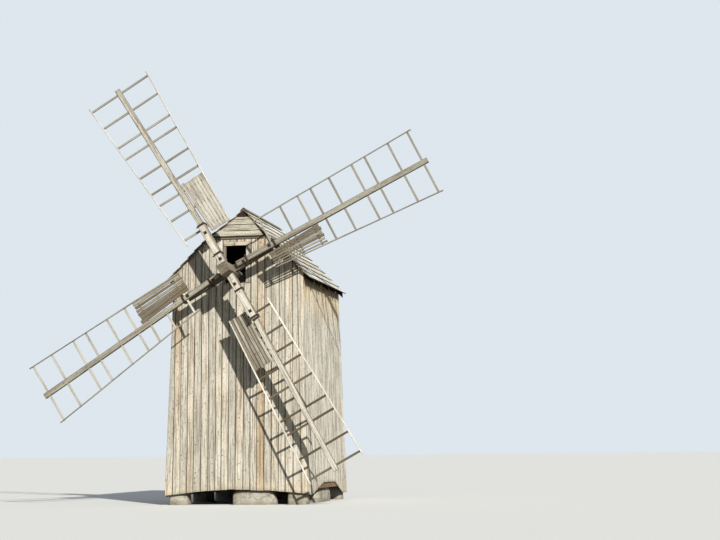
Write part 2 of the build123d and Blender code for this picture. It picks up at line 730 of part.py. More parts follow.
def whip(name):
    """Tapering whip, before the bars are let through it."""
    plane = sail_planes(name)
    root_half = whip_half(SAILS[name][0], WHIP_ROOT)
    tip_half = whip_half(SAILS[name][0], WHIP_TIP)
    side = Plane(origin=plane.origin, x_dir=plane.x_dir, z_dir=-plane.y_dir)
    with BuildPart() as timber:
        with BuildSketch(plane):
            with BuildLine():
                Polyline(
                    (WHIP_ROOT, -root_half),
                    (WHIP_TIP, -tip_half),
                    (WHIP_TIP, tip_half),
                    (WHIP_ROOT, root_half),
                    close=True,
                )
            make_face()
        extrude(amount=WHIP_DEPTH / 2, both=True)
        with BuildSketch(side):
            with BuildLine():
                Polyline(
                    (WHIP_ROOT, -WHIP_DEPTH / 2),
                    (WHIP_TAPER_START, -WHIP_DEPTH / 2),
                    (WHIP_TIP, -WHIP_TIP_DEPTH / 2),
                    (WHIP_TIP, WHIP_TIP_DEPTH / 2),
                    (WHIP_TAPER_START, WHIP_DEPTH / 2),
                    (WHIP_ROOT, WHIP_DEPTH / 2),
                    close=True,
                )
            make_face()
        extrude(amount=2 * root_half, both=True, mode=Mode.INTERSECT)
    return timber.part


def bars(name):
    """Nine twisted bars across the whip."""
    plane = sail_planes(name)
    ahead, behind = SAILS[name][3:]
    with BuildPart() as rungs:
        for radius in BAR_RADII:
            tip_ahead = reach(ahead, radius) + BAR_OVER
            tip_behind = reach(behind, radius) + BAR_OVER
            middle = bar_point(plane, radius, (tip_ahead - tip_behind) / 2)
            lean = plane.y_dir * cos(twist(radius)) + plane.z_dir * sin(twist(radius))
            with BuildSketch(Plane(origin=middle, x_dir=lean, z_dir=plane.x_dir.cross(lean))):
                Rectangle(tip_ahead + tip_behind, BAR_WIDTH)
            extrude(amount=BAR_THICKNESS / 2, both=True)
    return rungs.part


def rod(name, sign):
    """Straight rod along the bar ends on one side, laid on their front faces."""
    plane = sail_planes(name)
    half = SAILS[name][3] if sign > 0 else SAILS[name][4]
    outer, inner = BAR_RADII[0], BAR_RADII[-1]
    first = bar_point(plane, inner, sign * reach(half, inner))
    last = bar_point(plane, outer, sign * reach(half, outer))
    along = (last - first).normalized()
    face = along.cross(plane.y_dir).normalized()
    lift = face * ((BAR_THICKNESS + ROD_THICKNESS) / 2 - ROD_NOTCH)
    start = first + lift - along * ROD_INNER_OVER
    length = (last - first).length + ROD_INNER_OVER + ROD_OUTER_OVER
    with BuildPart() as lath:
        with BuildSketch(Plane(origin=start, x_dir=face, z_dir=along)):
            Rectangle(ROD_THICKNESS, ROD_WIDTH)
        extrude(amount=length)
    return lath.part


def board_line(name, count, radius):
    """Distance from the whip's middle line to the joint before a board, at a radius."""
    share = (radius - BOARD_ROOT) / (BOARD_TIP - BOARD_ROOT)
    near_root = STOCK_WIDTH / 2 + STRAP_THICKNESS + BOARD_CLEAR
    near_tip = whip_half(SAILS[name][0], BOARD_TIP) + BOARD_GAP
    near = near_root + (near_tip - near_root) * share
    far = reach(SAILS[name][4], radius) - ROD_WIDTH / 2
    return near + (far - near) * count / BOARD_COUNT


def board(name, count):
    """One widening board beside the whip, laid on the front faces of the three inner bars."""
    plane = sail_planes(name)
    ends = []
    for radius in (BAR_RADII[-1], BAR_RADII[-3]):
        middle = (board_line(name, count, radius) + board_line(name, count + 1, radius)) / 2
        ends.append(bar_point(plane, radius, -middle))
    first, last = ends
    along = (last - first).normalized()
    halves = []
    for radius in (BOARD_ROOT, BOARD_TIP):
        pitch = board_line(name, count + 1, radius) - board_line(name, count, radius)
        halves.append((pitch - BOARD_GAP) / 2)
    root_half, tip_half = halves
    lean = twist((BAR_RADII[-1] + BAR_RADII[-3]) / 2)
    side = plane.y_dir * cos(lean) + plane.z_dir * sin(lean)
    face = along.cross(side).normalized()
    start = first - along * (BAR_RADII[-1] - BOARD_ROOT) + face * (BAR_THICKNESS / 2 - BOARD_SINK)
    with BuildPart() as plank:
        with BuildSketch(Plane(origin=start, x_dir=along, z_dir=face)):
            with BuildLine():
                Polyline(
                    (0, -root_half),
                    (BOARD_TIP - BOARD_ROOT, -tip_half),
                    (BOARD_TIP - BOARD_ROOT, tip_half),
                    (0, root_half),
                    close=True,
                )
            make_face()
        extrude(amount=BOARD_THICKNESS)
    return plank.part


def strap(stock, half_turn, radius):
    """Iron band round a stock and the whip lapped on it."""
    depth = STOCK_DEPTH + WHIP_DEPTH
    middle = STOCK_DEPTH / 2 if stock == "front" else -STOCK_DEPTH / 2
    plane = arm_plane(STOCK_ANGLES[stock] + half_turn)
    place = plane.from_local_coords(Vector(radius - STRAP_WIDTH / 2, 0, middle))
    with BuildPart() as band:
        with BuildSketch(Plane(origin=place, x_dir=plane.y_dir, z_dir=plane.x_dir)):
            Rectangle(STOCK_WIDTH + 2 * STRAP_THICKNESS, depth + 2 * STRAP_THICKNESS)
            Rectangle(STOCK_WIDTH, depth, mode=Mode.SUBTRACT)
        extrude(amount=STRAP_WIDTH)
    return band.part


def bolt(stock, half_turn, radius):
    """Through bolt with a head on each face."""
    depth = STOCK_DEPTH + WHIP_DEPTH
    middle = STOCK_DEPTH / 2 if stock == "front" else -STOCK_DEPTH / 2
    plane = arm_plane(STOCK_ANGLES[stock] + half_turn)
    place = plane.from_local_coords(Vector(radius, 0, middle - depth / 2))
    seat = Plane(origin=place, x_dir=plane.x_dir, z_dir=plane.z_dir)
    with BuildPart() as pin:
        with BuildSketch(seat.offset(-BOLT_HEAD)):
            RegularPolygon(BOLT_HEAD_RADIUS, 6)
        extrude(amount=BOLT_HEAD)
        with BuildSketch(seat):
            Circle(BOLT_RADIUS)
        extrude(amount=depth)
        with BuildSketch(seat.offset(depth)):
            RegularPolygon(BOLT_HEAD_RADIUS, 6)
        extrude(amount=BOLT_HEAD)
    return pin.part


lap_straps = [strap(*SAILS[name][:2], radius) for name in SAILS for radius in IRONS[name][0]]
with BuildPart() as stock_straps:
    for band in lap_straps:
        add(band)
stock_straps.part.label = "stock_straps"
export_step(stock_straps.part, "parts/stock_straps.step")

lap_bolts = [bolt(*SAILS[name][:2], radius) for name in SAILS for radius in IRONS[name][1]]
with BuildPart() as stock_bolts:
    for pin in lap_bolts:
        add(pin)
stock_bolts.part.label = "stock_bolts"
export_step(stock_bolts.part, "parts/stock_bolts.step")


# Stocks, crossed through the head of the windshaft
def stock_timber(stock, side):
    """One stock, drilled for its bolts."""
    first_end, second_end = STOCK_ENDS[stock]
    with BuildPart() as timber:
        with BuildSketch(arm_plane(STOCK_ANGLES[stock]).offset(side * WHIP_DEPTH / 2)):
            with Locations(((first_end - second_end) / 2, 0)):
                Rectangle(first_end + second_end, STOCK_WIDTH)
        extrude(amount=side * STOCK_DEPTH)
        add(stock_bolts.part, mode=Mode.SUBTRACT)
    return timber.part


front_timber = stock_timber("front", 1)
with BuildPart() as stock_front:
    add(front_timber)
stock_front.part.label = "stock_front"
export_step(stock_front.part, "parts/stock_front.step")

rear_timber = stock_timber("rear", -1)
with BuildPart() as stock_rear:
    add(rear_timber)
stock_rear.part.label = "stock_rear"
export_step(stock_rear.part, "parts/stock_rear.step")


# The four sails
for name in SAILS:
    rungs = bars(name)
    timber = whip(name)
    with BuildPart() as sail_bars:
        add(rungs)
    sail_bars.part.label = f"bars_{name}"
    export_step(sail_bars.part, f"parts/bars_{name}.step")

    with BuildPart() as sail_whip:
        add(timber)
        add(rungs, mode=Mode.SUBTRACT)
        add(stock_bolts.part, mode=Mode.SUBTRACT)
    sail_whip.part.label = f"whip_{name}"
    export_step(sail_whip.part, f"parts/whip_{name}.step")

    laths = [rod(name, 1), rod(name, -1)]
    with BuildPart() as sail_rods:
        for lath in laths:
            add(lath)
        add(rungs, mode=Mode.SUBTRACT)
    sail_rods.part.label = f"rods_{name}"
    export_step(sail_rods.part, f"parts/rods_{name}.step")

    planks = [board(name, count) for count in range(BOARD_COUNT)]
    with BuildPart() as sail_boards:
        for plank in planks:
            add(plank)
        add(rungs, mode=Mode.SUBTRACT)
    sail_boards.part.label = f"boards_{name}"
    export_step(sail_boards.part, f"parts/boards_{name}.step")


# Foundation stones, flat underneath
with BuildPart() as foundation_stones:
    for centre_x, centre_y, length, depth in STONES:
        with BuildSketch():
            with Locations((centre_x, centre_y)):
                RectangleRounded(length, depth, STONE_ROUND)
        extrude(amount=STONE_HEIGHT, taper=STONE_TAPER)
foundation_stones.part.label = "foundation_stones"
export_step(foundation_stones.part, "parts/foundation_stones.step")
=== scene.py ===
"""Looks of a small timber windmill: weathered boards, lapped roof, stocks and lattice sails."""

import math
from collections import namedtuple

import bpy
import numpy as np
from mathutils import Matrix, Vector


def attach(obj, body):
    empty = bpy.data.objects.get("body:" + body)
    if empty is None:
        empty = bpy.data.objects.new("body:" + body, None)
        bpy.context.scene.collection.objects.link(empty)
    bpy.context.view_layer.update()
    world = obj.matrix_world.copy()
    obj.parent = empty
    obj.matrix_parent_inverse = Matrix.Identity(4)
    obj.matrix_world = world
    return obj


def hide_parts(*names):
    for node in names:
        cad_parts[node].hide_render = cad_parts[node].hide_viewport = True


bl_info = {
    "name": "Timber Windmill",
    "version": (1, 0, 0),
    "blender": (4, 5, 0),
    "location": "View3D > Sidebar > Windmill",
    "description": "Dresses the timber windmill with weathered boards, roof courses, sails and stones",
    "category": "Object",
}

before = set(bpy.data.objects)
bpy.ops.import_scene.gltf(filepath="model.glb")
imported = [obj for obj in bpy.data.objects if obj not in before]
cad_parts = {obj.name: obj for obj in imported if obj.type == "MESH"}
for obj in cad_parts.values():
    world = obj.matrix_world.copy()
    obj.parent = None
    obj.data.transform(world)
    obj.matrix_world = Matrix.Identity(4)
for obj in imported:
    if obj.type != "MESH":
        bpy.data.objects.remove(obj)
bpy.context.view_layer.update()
ROOT_TWO = math.sqrt(2.0)

# Body and material slot of each kind of piece
WALL = ("mill_body", "wall_boards")
ROOF = ("mill_body", "roof_boards")
STONE = ("mill_body", "stone")
BODY_IRON = ("mill_body", "iron")
STOCK = ("rotor", "stock_timber")
SAIL = ("rotor", "sail_timber")
ROTOR_IRON = ("rotor", "iron")

# Joints between the front boards, in metres from the middle, at the two heights in JOINT_HEIGHTS
JOINT_HEIGHTS = (1.0, 4.5)
FRONT_JOINTS = (
    (-1.866, -1.860), (-1.660, -1.672), (-1.457, -1.478), (-1.268, -1.279), (-1.040, -1.069),
    (-0.841, -0.858), (-0.622, -0.640), (-0.446, -0.455), (-0.241, -0.250), (-0.032, -0.037),
    (0.198, 0.190), (0.402, 0.390), (0.590, 0.585), (0.810, 0.800), (1.020, 1.012),
    (1.228, 1.224), (1.426, 1.403), (1.655, 1.623), (1.889, 1.802),
)
FRONT_TONES = (
    0.25, 0.60, 0.30, 0.48, 0.10, 0.42, 0.15, 0.40, 0.50, 0.08,
    0.52, 0.25, 0.44, 0.84, 0.20, 0.45, 0.28, 0.50, 0.35, 0.48,
)
SIDE_BOARDS = 26

# Foot of each wall's boards: places across the wall and heights there
WALL_FEET = {
    "front": ((-2.11, -1.36, -0.61, -0.15, 0.95, 1.80, 2.11), (0.273, 0.350, 0.418, 0.437, 0.402, 0.341, 0.310)),
    "right": ((-0.36, 0.117, 1.667, 3.269, 4.398, 5.02), (0.300, 0.257, 0.580, 0.580, 0.200, 0.200)),
    "left": ((-0.36, 5.02), (0.240, 0.240)),
    "back": ((-2.11, 2.11), (0.240, 0.240)),
}

# Boards over the hatch: left and right edge, and lower and upper edge over the hatch's top
LINTELS = ((-0.438, -0.112, 0.004, 0.128), (-0.098, 0.374, 0.002, 0.122))
# Boards beside it: left and right edge; they stand this much over its foot and end this much under its top
JAMBS = ((-0.430, -0.372), (0.228, 0.372))
JAMB_ENDS = (0.008, 0.006)
# Thickness of these boards, of the board under the half hip and of the ridge boards, and their gap to what they cover
HATCH_FRAME, FASCIA_BOARD, RIDGE_BOARD, OFF_WALL = 0.024, 0.021, 0.021, 0.001
# Ends of the board under the half hip: place across the wall, and lower and upper edge
FASCIA = ((-0.775, 7.605, 7.668), (0.760, 7.600, 7.664))
# Courses of a slope: half the gap where one is cut in two, where such cuts lie, and the share that isn't cut
CUT_GAP, CUTS, WHOLE_SHARE = 0.003, (1.2, 3.6), 0.35
# Front edge of a roof slope: heights and places there, along the half hip and then the ridge
VERGE = ((7.633, 8.353, 8.590), (-0.180, 0.4185, 0.497))
# Half hip: direction up its slope, where its four courses start, their thicknesses, and how far an end curls up
HIP_RISE = (0.0, 0.552, 0.664)
HIP_COURSES = (0.0, 0.237, 0.497, 0.734)
HIP_BOARDS = (0.040, 0.026, 0.026, 0.026)
HIP_CURLS = (0.03, 0.0, 0.012, 0.0)
# Ridge boards: where the upper and the lower edge start, how far down the slope the lower one lies in front and
# behind, and each side with its upper edge
RIDGE_START, RIDGE_LOWER, RIDGE_UPPER = (0.480, 0.500), (0.135, 0.130), ((-1.0, 0.0), (1.0, -0.020))
# Nails of the front boards: heights, distance from a board's middle line, slant of a pair, radius, height of a head
NAIL_HEIGHTS = (0.50, 3.06, 6.08)
NAIL_SHIFT, NAIL_SLANT, NAIL_RADIUS, NAIL_HEAD = 0.06, 0.012, 0.007, 0.004

# A stock's angle in degrees, its reach to each end, the width of its whips at their roots, and its wood
Stock = namedtuple("Stock", "angle ends whip_width wood")
STOCKS = {
    "front": Stock(120.43, (1.560, 1.620), 0.178, "pale_stock_wood"),
    "rear": Stock(29.86, (1.600, 1.600), 0.162, "brown_stock_wood"),
}
# A sail's stock, half turn and whip angle; its half widths ahead and behind at MIDDLE_RADIUS, each with its growth a
# metre; the radii of its straps and bolts; the woods of its whip, bars, rods and boards; the share of the rods' width
# at their root and tip; and the tone of each board and what it leaves open of its place, from the whip outwards
Sail = namedtuple("Sail", "stock half_turn angle ahead behind straps bolts woods rod_widths tones gaps")
MIDDLE_RADIUS = 4.0
# The pale whips, rods and boards of the upper left and lower right sails and the darker ones of the other two are
# partly painted sunlight and shade
SAILS = {
    "upper_left": Sail(
        "front", 0.0, 122.22, (0.835, 0.065), (0.886, 0.051), (0.550, 1.525), (0.370, 1.257),
        ("silver_whip_wood", "grey_bar_wood", "pale_rod_wood", "silver_board_wood"), (1.0, 0.85),
        (0.55, 0.80, 0.60, 0.90, 0.70, 0.85), (0.006,) * 6,
    ),
    "lower_right": Sail(
        "front", 180.0, 298.93, (0.742, 0.052), (0.778, 0.019), (0.675, 1.575), (0.477, 1.380),
        ("pale_stock_wood", "dark_bar_wood", "white_rod_wood", "grey_board_wood"), (1.15, 1.15),
        (0.70, 0.30, 0.55, 0.20, 0.60, 0.45), (0.005,) * 6,
    ),
    # The dark first two boards by the whip on this sail and the next are painted shade
    "upper_right": Sail(
        "rear", 0.0, 27.28, (0.917, 0.030), (0.805, 0.071), (0.620, 1.535), (0.510, 1.375),
        ("grey_stock_wood", "grey_bar_wood", "grey_rod_wood", "brown_board_wood"), (1.0, 0.85),
        (0.05, 0.20, 0.70, 0.45, 0.90, 0.75), (0.004, 0.006, 0.006, 0.016, 0.050, 0.066),
    ),
    "lower_left": Sail(
        "rear", 180.0, 212.62, (0.745, 0.072), (0.868, 0.034), (0.620, 1.535), (0.510, 1.375),
        ("grey_stock_wood", "pale_bar_wood", "grey_rod_wood", "brown_board_wood"), (1.0, 0.85),
        (0.10, 0.15, 0.60, 0.80, 0.50, 0.90), (0.004, 0.006, 0.020, 0.034, 0.034, 0.020),
    ),
}
BAR_RADII = np.array((6.305, 5.674, 4.919, 4.494, 3.758, 3.151, 2.731, 2.153, 1.452))
# Twist of the bars in degrees at a radius, and what they lose of it each metre outwards
TWIST, TWIST_RADIUS, TWIST_LOSS = 6.17, 3.5, 1.27
# How far the bars reach past the rods, and the rods past the innermost and the outermost bar
BAR_END = 0.012
ROD_ENDS = (0.200, 0.125)
# How deep the rods and the boards are let into the bars, and the gap between a whip and the boards' tips
ROD_SUNK, BOARD_SUNK, BOARD_GAP = 0.008, 0.002, 0.012
# Sides and thicknesses of the square washers, and thickness of the straps' tails
WASHER, WASHER_THICKNESS, TAIL_THICKNESS = 0.090, 0.006, 0.014
# Tail of a strap: its distance from the stock and from the front face, its length and its two widths
TAIL_OUT, TAIL_BACK, TAIL_LENGTH, TAIL_WIDTHS = 0.008, 0.05, 0.055, (0.034, 0.026)

# Foundation stones: middle across and along the body, length, depth
STONES = (
    (0.470, 0.000, 1.350, 0.560), (-1.740, 0.000, 0.620, 0.560), (1.740, 0.000, 0.620, 0.560),
    (-1.740, 2.330, 0.560, 0.900), (1.740, 2.330, 0.560, 2.200), (-1.740, 4.660, 0.620, 0.560),
    (0.000, 4.660, 0.900, 0.560), (1.740, 4.660, 0.620, 0.560),
)
STONE_HEIGHT = 0.42

# Woods: shades from the darkest tone to the palest, and settings of wood()
SLIM = {"contrast": 0.6, "knots": 0.95, "edges": 0.2}
WOODS = {
    "wall_wood": ("wall_grey wall_pale wall_tan", {"stain": True}),
    # Paler than the front boards: partly the wood's colour, partly painted light for the weaker sun on the side walls
    "side_wood": ("side_pale side_pale wall_pale", {"contrast": 1.3, "knots": 0.60, "stain": True}),
    "roof_wood": ("roof_grey roof_pale roof_pale", {"contrast": 1.2, "knots": 0.8, "edges": 0.98}),
    "hip_wood": ("hip_board hip_board roof_grey", {"contrast": 1.2, "knots": 0.8, "edges": 0.9}),
    # Dark brown: partly the wood's colour, partly painted shade on the ridge cap's edge and under the half hip
    "ridge_wood": ("sail_brown sail_board", {"knots": 0.8}),
    # The pale and darker woods of the stocks, whips, rods and boards are lit and shaded copies: partly painted
    # sunlight and shade
    "pale_stock_wood": ("stock_pale stock_pale", {"contrast": 0.85}),
    "grey_stock_wood": ("stock_grey sail_board", {"knots": 0.75}),
    "brown_stock_wood": ("sail_brown stock_grey", {"knots": 0.75}),
    "silver_whip_wood": ("sail_board sail_pale", {"contrast": 1.2}),
    "silver_board_wood": ("sail_board sail_pale sail_pale", {"knots": 0.8}),
    "grey_board_wood": ("sail_brown sail_board sail_pale", {"contrast": 1.2, "knots": 0.8, "edges": 0.98}),
    "brown_board_wood": ("sail_brown sail_brown sail_board", {"knots": 0.8}),
    "dark_bar_wood": ("bar_dark sail_brown", SLIM),
    "grey_bar_wood": ("stock_grey sail_board", SLIM),
    "pale_bar_wood": ("sail_board sail_pale", SLIM),
    "grey_rod_wood": ("stock_grey sail_board", SLIM),
    "pale_rod_wood": ("sail_pale side_pale", SLIM),
    "white_rod_wood": ("side_pale side_pale", SLIM),
    "post_wood": ("timber stock_brown", {"kind": "upright"}),
    "ring_wood": ("timber stock_brown", {"kind": "ring"}),
    # Darker than the post wood, partly as painted shade
    "cross_wood": ("knot timber", {"kind": "across"}),
    "shaded_wood": ("hollow timber", {"kind": "across", "contrast": 0.5}),
    # Rafters painted nearly black: painted shade under the roof
    "rafter_wood": ("soot hollow", {"kind": "rafter", "contrast": 0.5}),
    "shaft_wood": ("sail_brown stock_grey", {"kind": "along", "knots": 0.9, "rings": True}),
}
FRAME_FINISHES = {
    "post_wood": ("corner_posts",),
    "ring_wood": ("sill_beams", "middle_rails", "upper_girts", "wall_plates"),
    "cross_wood": ("tail_beam", "hip_plate"),
    "shaded_wood": ("neck_beam", "shaft_bearings"),
    "rafter_wood": ("rafters", "hip_rafters"),
    "shaft_wood": ("windshaft",),
    "forged_iron": ("stock_straps", "stock_bolts"),
}
# What bleached streaks and pale specks multiply the shade by
BLEACHED, PALER = (1.14, 1.15, 1.17), (1.12, 1.12, 1.13)
# Stains and painted eave shade: distance from the middle past which the eave shades a board, heights of the damp foot,
# how far down fresh wood shows, and where the painted shade under the eave starts and is full
EAVE_SIDE, DAMP_HEIGHTS, FRESH_DEPTH, EAVE_SHADE = 1.925, (0.75, 0.25), 1.2, (0.36, 0.12)
# Middle of the year rings beside the hub, and their number in a metre times 2 pi
RING_SIDE, RING_RATE = 0.02, 620.0

# Camera: its place, its turns about the upright, its side and its own axis in degrees, and its lens in millimetres
CAMERA_PLACE, CAMERA_TURN, CAMERA_LENS = (12.095, -43.441, 1.515), (11.106, 90.0 + 6.547, -0.557), 78.29
# Direction to the sun, its strength, its width in degrees and its colour; light of the sky and its strength
SUN, SUN_STRENGTH, SUN_WIDTH, SUN_COLOUR = (0.49, -0.70, 0.52), 4.4, 1.0, (1.0, 0.97, 0.92)
SKY_LIGHT, SKY_STRENGTH = (0.80, 0.89, 1.0), 0.32
FLOOR_REACH = 400.0


def named(key, make, default, words, **settings):
    """Property whose name is its key in words."""
    return make(name=key.replace("_", " ").capitalize(), default=default, description=words, **settings)


def lengths(**rows):
    """Length properties in metres, each from its default and its description."""
    return {key: named(key, bpy.props.FloatProperty, *row, unit="LENGTH") for key, row in rows.items()}


def colours(**rows):
    """Colour properties, each given as it looks on a screen from 0 to 255 and kept as linear light."""
    made = {}
    for key, (red, green, blue, words) in rows.items():
        seen = np.array((red, green, blue)) / 255.0
        linear = np.where(seen <= 0.04045, seen / 12.92, ((seen + 0.055) / 1.055) ** 2.4)
        looks = {"size": 3, "min": 0.0, "max": 1.0, "subtype": "COLOR"}
        made[key] = named(key, bpy.props.FloatVectorProperty, tuple(linear), words, **looks)
    return made


class MillBody(bpy.types.PropertyGroup):
    """Sizes of the boarded body."""

    __annotations__ = {
        **lengths(
            half_width=(2.1065, "Half width of the body at the ground"),
            front=(-0.3555, "Place of the front wall's face at the ground"),
            back=(5.0155, "Place of the back wall's face at the ground"),
            thickness=(0.030, "Thickness of the wall boards"),
            joint=(0.009, "Gap between two wall boards"),
            side_head=(6.430, "Height of the side walls"),
            gable_apex=(8.526, "Height where the gable's boards would meet"),
            hip_head=(7.690, "Height of the front boards under the half hip"),
            hatch_left=(-0.370, "Left side of the hatch"),
            hatch_right=(0.225, "Right side of the hatch"),
            hatch_foot=(6.325, "Lower edge of the hatch"),
            hatch_top=(7.410, "Upper edge of the hatch"),
        ),
        "lean_side": bpy.props.FloatProperty(name="Side lean", default=0.026, description="Lean of the side walls"),
        "lean_front": bpy.props.FloatProperty(name="Front lean", default=0.042, description="Lean of the other walls"),
    }


class MillRoof(bpy.types.PropertyGroup):
    """Sizes of the lapped board roof."""

    __annotations__ = {
        **lengths(
            ridge=(8.590, "Height of the ridge"),
            slope_length=(3.055, "Length of a slope from ridge to eave"),
            verge_back=(4.830, "Place of the back verge"),
            board=(0.028, "Thickness of a roof board"),
            lap=(0.035, "Length that a course runs under the next"),
            hip_foot_y=(-0.101, "Place of the half hip's lower edge"),
            hip_foot_z=(7.689, "Height of the half hip's lower edge"),
            hip_length=(0.8635, "Length of the half hip along its slope"),
            hip_foot_half=(0.770, "Half width of the half hip at its lower edge"),
            hip_head_half=(0.173, "Half width of the half hip at its upper edge"),
        ),
        "courses": bpy.props.IntProperty(name="Courses", default=10, min=1, description="Courses on each slope"),
    }


class MillSails(bpy.types.PropertyGroup):
    """Sizes of the stocks and sails."""

    __annotations__ = {
        **lengths(
            hub_x=(-0.060, "Place of the hub across the body"),
            hub_y=(-0.853, "Place of the hub along the body"),
            hub_z=(6.592, "Height of the hub"),
            stock_width=(0.220, "Width of a stock"),
            stock_depth=(0.170, "Depth of a stock along the windshaft"),
            whip_depth=(0.120, "Depth of a whip at its lap"),
            whip_tip_depth=(0.070, "Depth of a whip at its tip"),
            whip_root=(0.300, "Radius where a whip starts"),
            whip_tip=(6.451, "Radius where a whip ends"),
            whip_tip_width=(0.162, "Width of a whip at its tip"),
            whip_pivot=(1.070, "Radius where a whip lies on the stock's middle line"),
            bar_width=(0.066, "Width of a sail bar"),
            bar_thickness=(0.034, "Thickness of a sail bar"),
            rod_width=(0.045, "Width of an outer rod"),
            rod_thickness=(0.035, "Thickness of an outer rod"),
            board_root=(1.260, "Radius where the sail boards start"),
            board_tip=(2.925, "Radius where the sail boards end"),
            board_thickness=(0.022, "Thickness of a sail board"),
            board_near=(0.160, "Distance from the whip's middle line to the boards at their root"),
        ),
        "boards": bpy.props.IntProperty(name="Boards", default=6, min=1, description="Boards beside each whip"),
        "tilt": bpy.props.FloatProperty(
            name="Tilt", default=math.radians(2.0), subtype="ANGLE", description="Rise of the windshaft to the front"
        ),
    }


class MillColours(bpy.types.PropertyGroup):
    """Colours of the finishes."""

    __annotations__ = colours(
        wall_pale=(226, 218, 200, "Palest wall boards"),
        wall_grey=(200, 195, 180, "Greyest wall boards"),
        wall_tan=(208, 182, 146, "Warmest wall boards"),
        # Partly painted light: the side walls are paler so that they look as bright as the sunlit front
        side_pale=(252, 246, 230, "Palest boards of the side walls"),
        grain=(116, 100, 80, "Dark lines of the grain"),
        # The knot colour also serves as the painted eave shade at the top of the side walls
        knot=(92, 66, 44, "Heart of a knot"),
        stain=(255, 221, 164, "Fresh wood under the eave and at the foot"),
        roof_pale=(240, 237, 225, "Silvered roof boards"),
        roof_grey=(206, 198, 180, "Darker roof boards"),
        hip_board=(198, 193, 173, "Boards of the half hip"),
        # The pale colours on the sunny line and the darker ones on the other line are lit and shaded copies of the
        # same weathered wood: partly its own colour, partly painted sunlight and shade
        stock_pale=(224, 217, 200, "Stock and whips on the sunny line"),
        stock_brown=(150, 130, 108, "Palest parts of the frame timbers"),
        stock_grey=(148, 144, 130, "Stock and whips on the other line"),
        sail_pale=(216, 210, 194, "Boards and rods on the sunny line"),
        sail_board=(180, 175, 158, "Boards of the lower sail"),
        bar_dark=(96, 84, 66, "Bars of the lower sail"),
        sail_brown=(126, 116, 96, "Boards and bars on the other line"),
        timber=(126, 100, 80, "Beams and posts of the frame"),
        # Hollow is also the colour of the painted shade on edges and side faces
        hollow=(46, 38, 32, "Cracks and deep grain"),
        # Near black for the rafters: painted shade under the roof
        soot=(22, 18, 15, "Rafters in the shade of the roof"),
        iron=(62, 54, 50, "Straps, bolts and nails"),
        rust=(84, 58, 44, "Rust on the iron"),
        stone=(150, 142, 124, "Foundation stones"),
        floor=(226, 226, 222, "Plain floor"),
        ground=(116, 115, 104, "Light that the floor throws back on the windmill"),
        sky=(222, 230, 238, "Plain background"),
    )


GROUPS = {"mill_body": MillBody, "mill_roof": MillRoof, "mill_sails": MillSails, "mill_colours": MillColours}


def unit(array):
    """Vectors divided by their own lengths."""
    array = np.asarray(array, float)
    return array / np.linalg.norm(array, axis=-1, keepdims=True)


def mix(first, second, share):
    """Straight line from first to second, at a share of the way."""
    return first * (1.0 - share) + second * share


def colour(given):
    """Colour of a node: an output as it is, three numbers or the name of a property with full cover."""
    if isinstance(given, str):
        given = getattr(bpy.context.scene.mill_colours, given)
    return given if isinstance(given, bpy.types.NodeSocket) else (*given, 1.0)


class Finish:
    """Material or world under construction, with short ways to add nodes and join them."""

    def __init__(self, owner):
        owner.use_nodes = True
        self.owner = owner
        self.tree = owner.node_tree

    def add(self, kind, settings=None, inputs=None):
        """New node with its settings and inputs; an input is a number, a tuple or another node's output."""
        node = self.tree.nodes.new("ShaderNode" + kind)
        for key, value in (settings or {}).items():
            setattr(node, key, value)
        self.set(node, inputs or {})
        return node

    def set(self, node, inputs):
        """Sets or joins a node's inputs."""
        for key, value in inputs.items():
            if isinstance(value, bpy.types.NodeSocket):
                self.tree.links.new(value, node.inputs[key])
            else:
                node.inputs[key].default_value = value

    def math(self, operation, first, second=0.0, clamp=False):
        """Result of one sum."""
        settings = {"operation": operation, "use_clamp": clamp}
        return self.add("Math", settings, {0: first, 1: second}).outputs[0]

    def times(self, first, second):
        """Product of two values."""
        return self.math("MULTIPLY", first, second)

    def minus(self, first, second):
        """First value less the second."""
        return self.math("SUBTRACT", first, second)

    def size(self, value, middle=None):
        """Size of a value, or its distance from a middle."""
        return self.math("ABSOLUTE", value if middle is None else self.minus(value, middle))

    def blend(self, share, first, second, way="MIX"):
        """Blend of two colours."""
        settings = {"data_type": "RGBA", "blend_type": way}
        return self.add("Mix", settings, {0: share, 6: colour(first), 7: colour(second)}).outputs[2]

    def ramp(self, value, low, high, most=1.0, least=0.0):
        """Value carried from low and high to least and most, and held there; low may be the higher."""
        inputs = {"Value": value, "From Min": low, "From Max": high, "To Min": least, "To Max": most}
        return self.add("MapRange", None, inputs).outputs[0]

    def noise(self, vector, across, along=None, detail=3.0, roughness=0.55, distortion=0.0):
        """Noise between 0 and 1, at this rate across and along the third axis."""
        scale = (across, across, across if along is None else along)
        inputs = {
            "Vector": self.add("Mapping", None, {"Vector": vector, "Scale": scale}).outputs[0], "Scale": 1.0,
            "Detail": detail, "Roughness": roughness, "Distortion": distortion,
        }
        return self.add("TexNoise", None, inputs).outputs["Fac"]

    def attribute(self, name, output="Fac"):
        """Value kept on the mesh."""
        return self.add("Attribute", {"attribute_name": name}).outputs[output]

    def place(self):
        """Object coordinates."""
        return self.add("TexCoord").outputs["Object"]

    def split(self, vector):
        """The three numbers of a vector."""
        return self.add("SeparateXYZ", None, {0: vector}).outputs

    def vector(self, across, deep, along):
        """Vector of three values."""
        return self.add("CombineXYZ", None, {0: across, 1: deep, 2: along}).outputs[0]

    def close(self, shade, bump, roughness, depth=0.003, strength=0.6, metallic=0.0):
        """Joins colour and height to the shader."""
        lifted = self.add("Bump", None, {"Height": bump, "Distance": depth, "Strength": strength})
        self.set(self.tree.nodes["Principled BSDF"], {
            "Base Color": shade, "Roughness": roughness, "Specular IOR Level": 0.25, "Metallic": metallic,
            "Normal": lifted.outputs["Normal"],
        })
        return self.owner


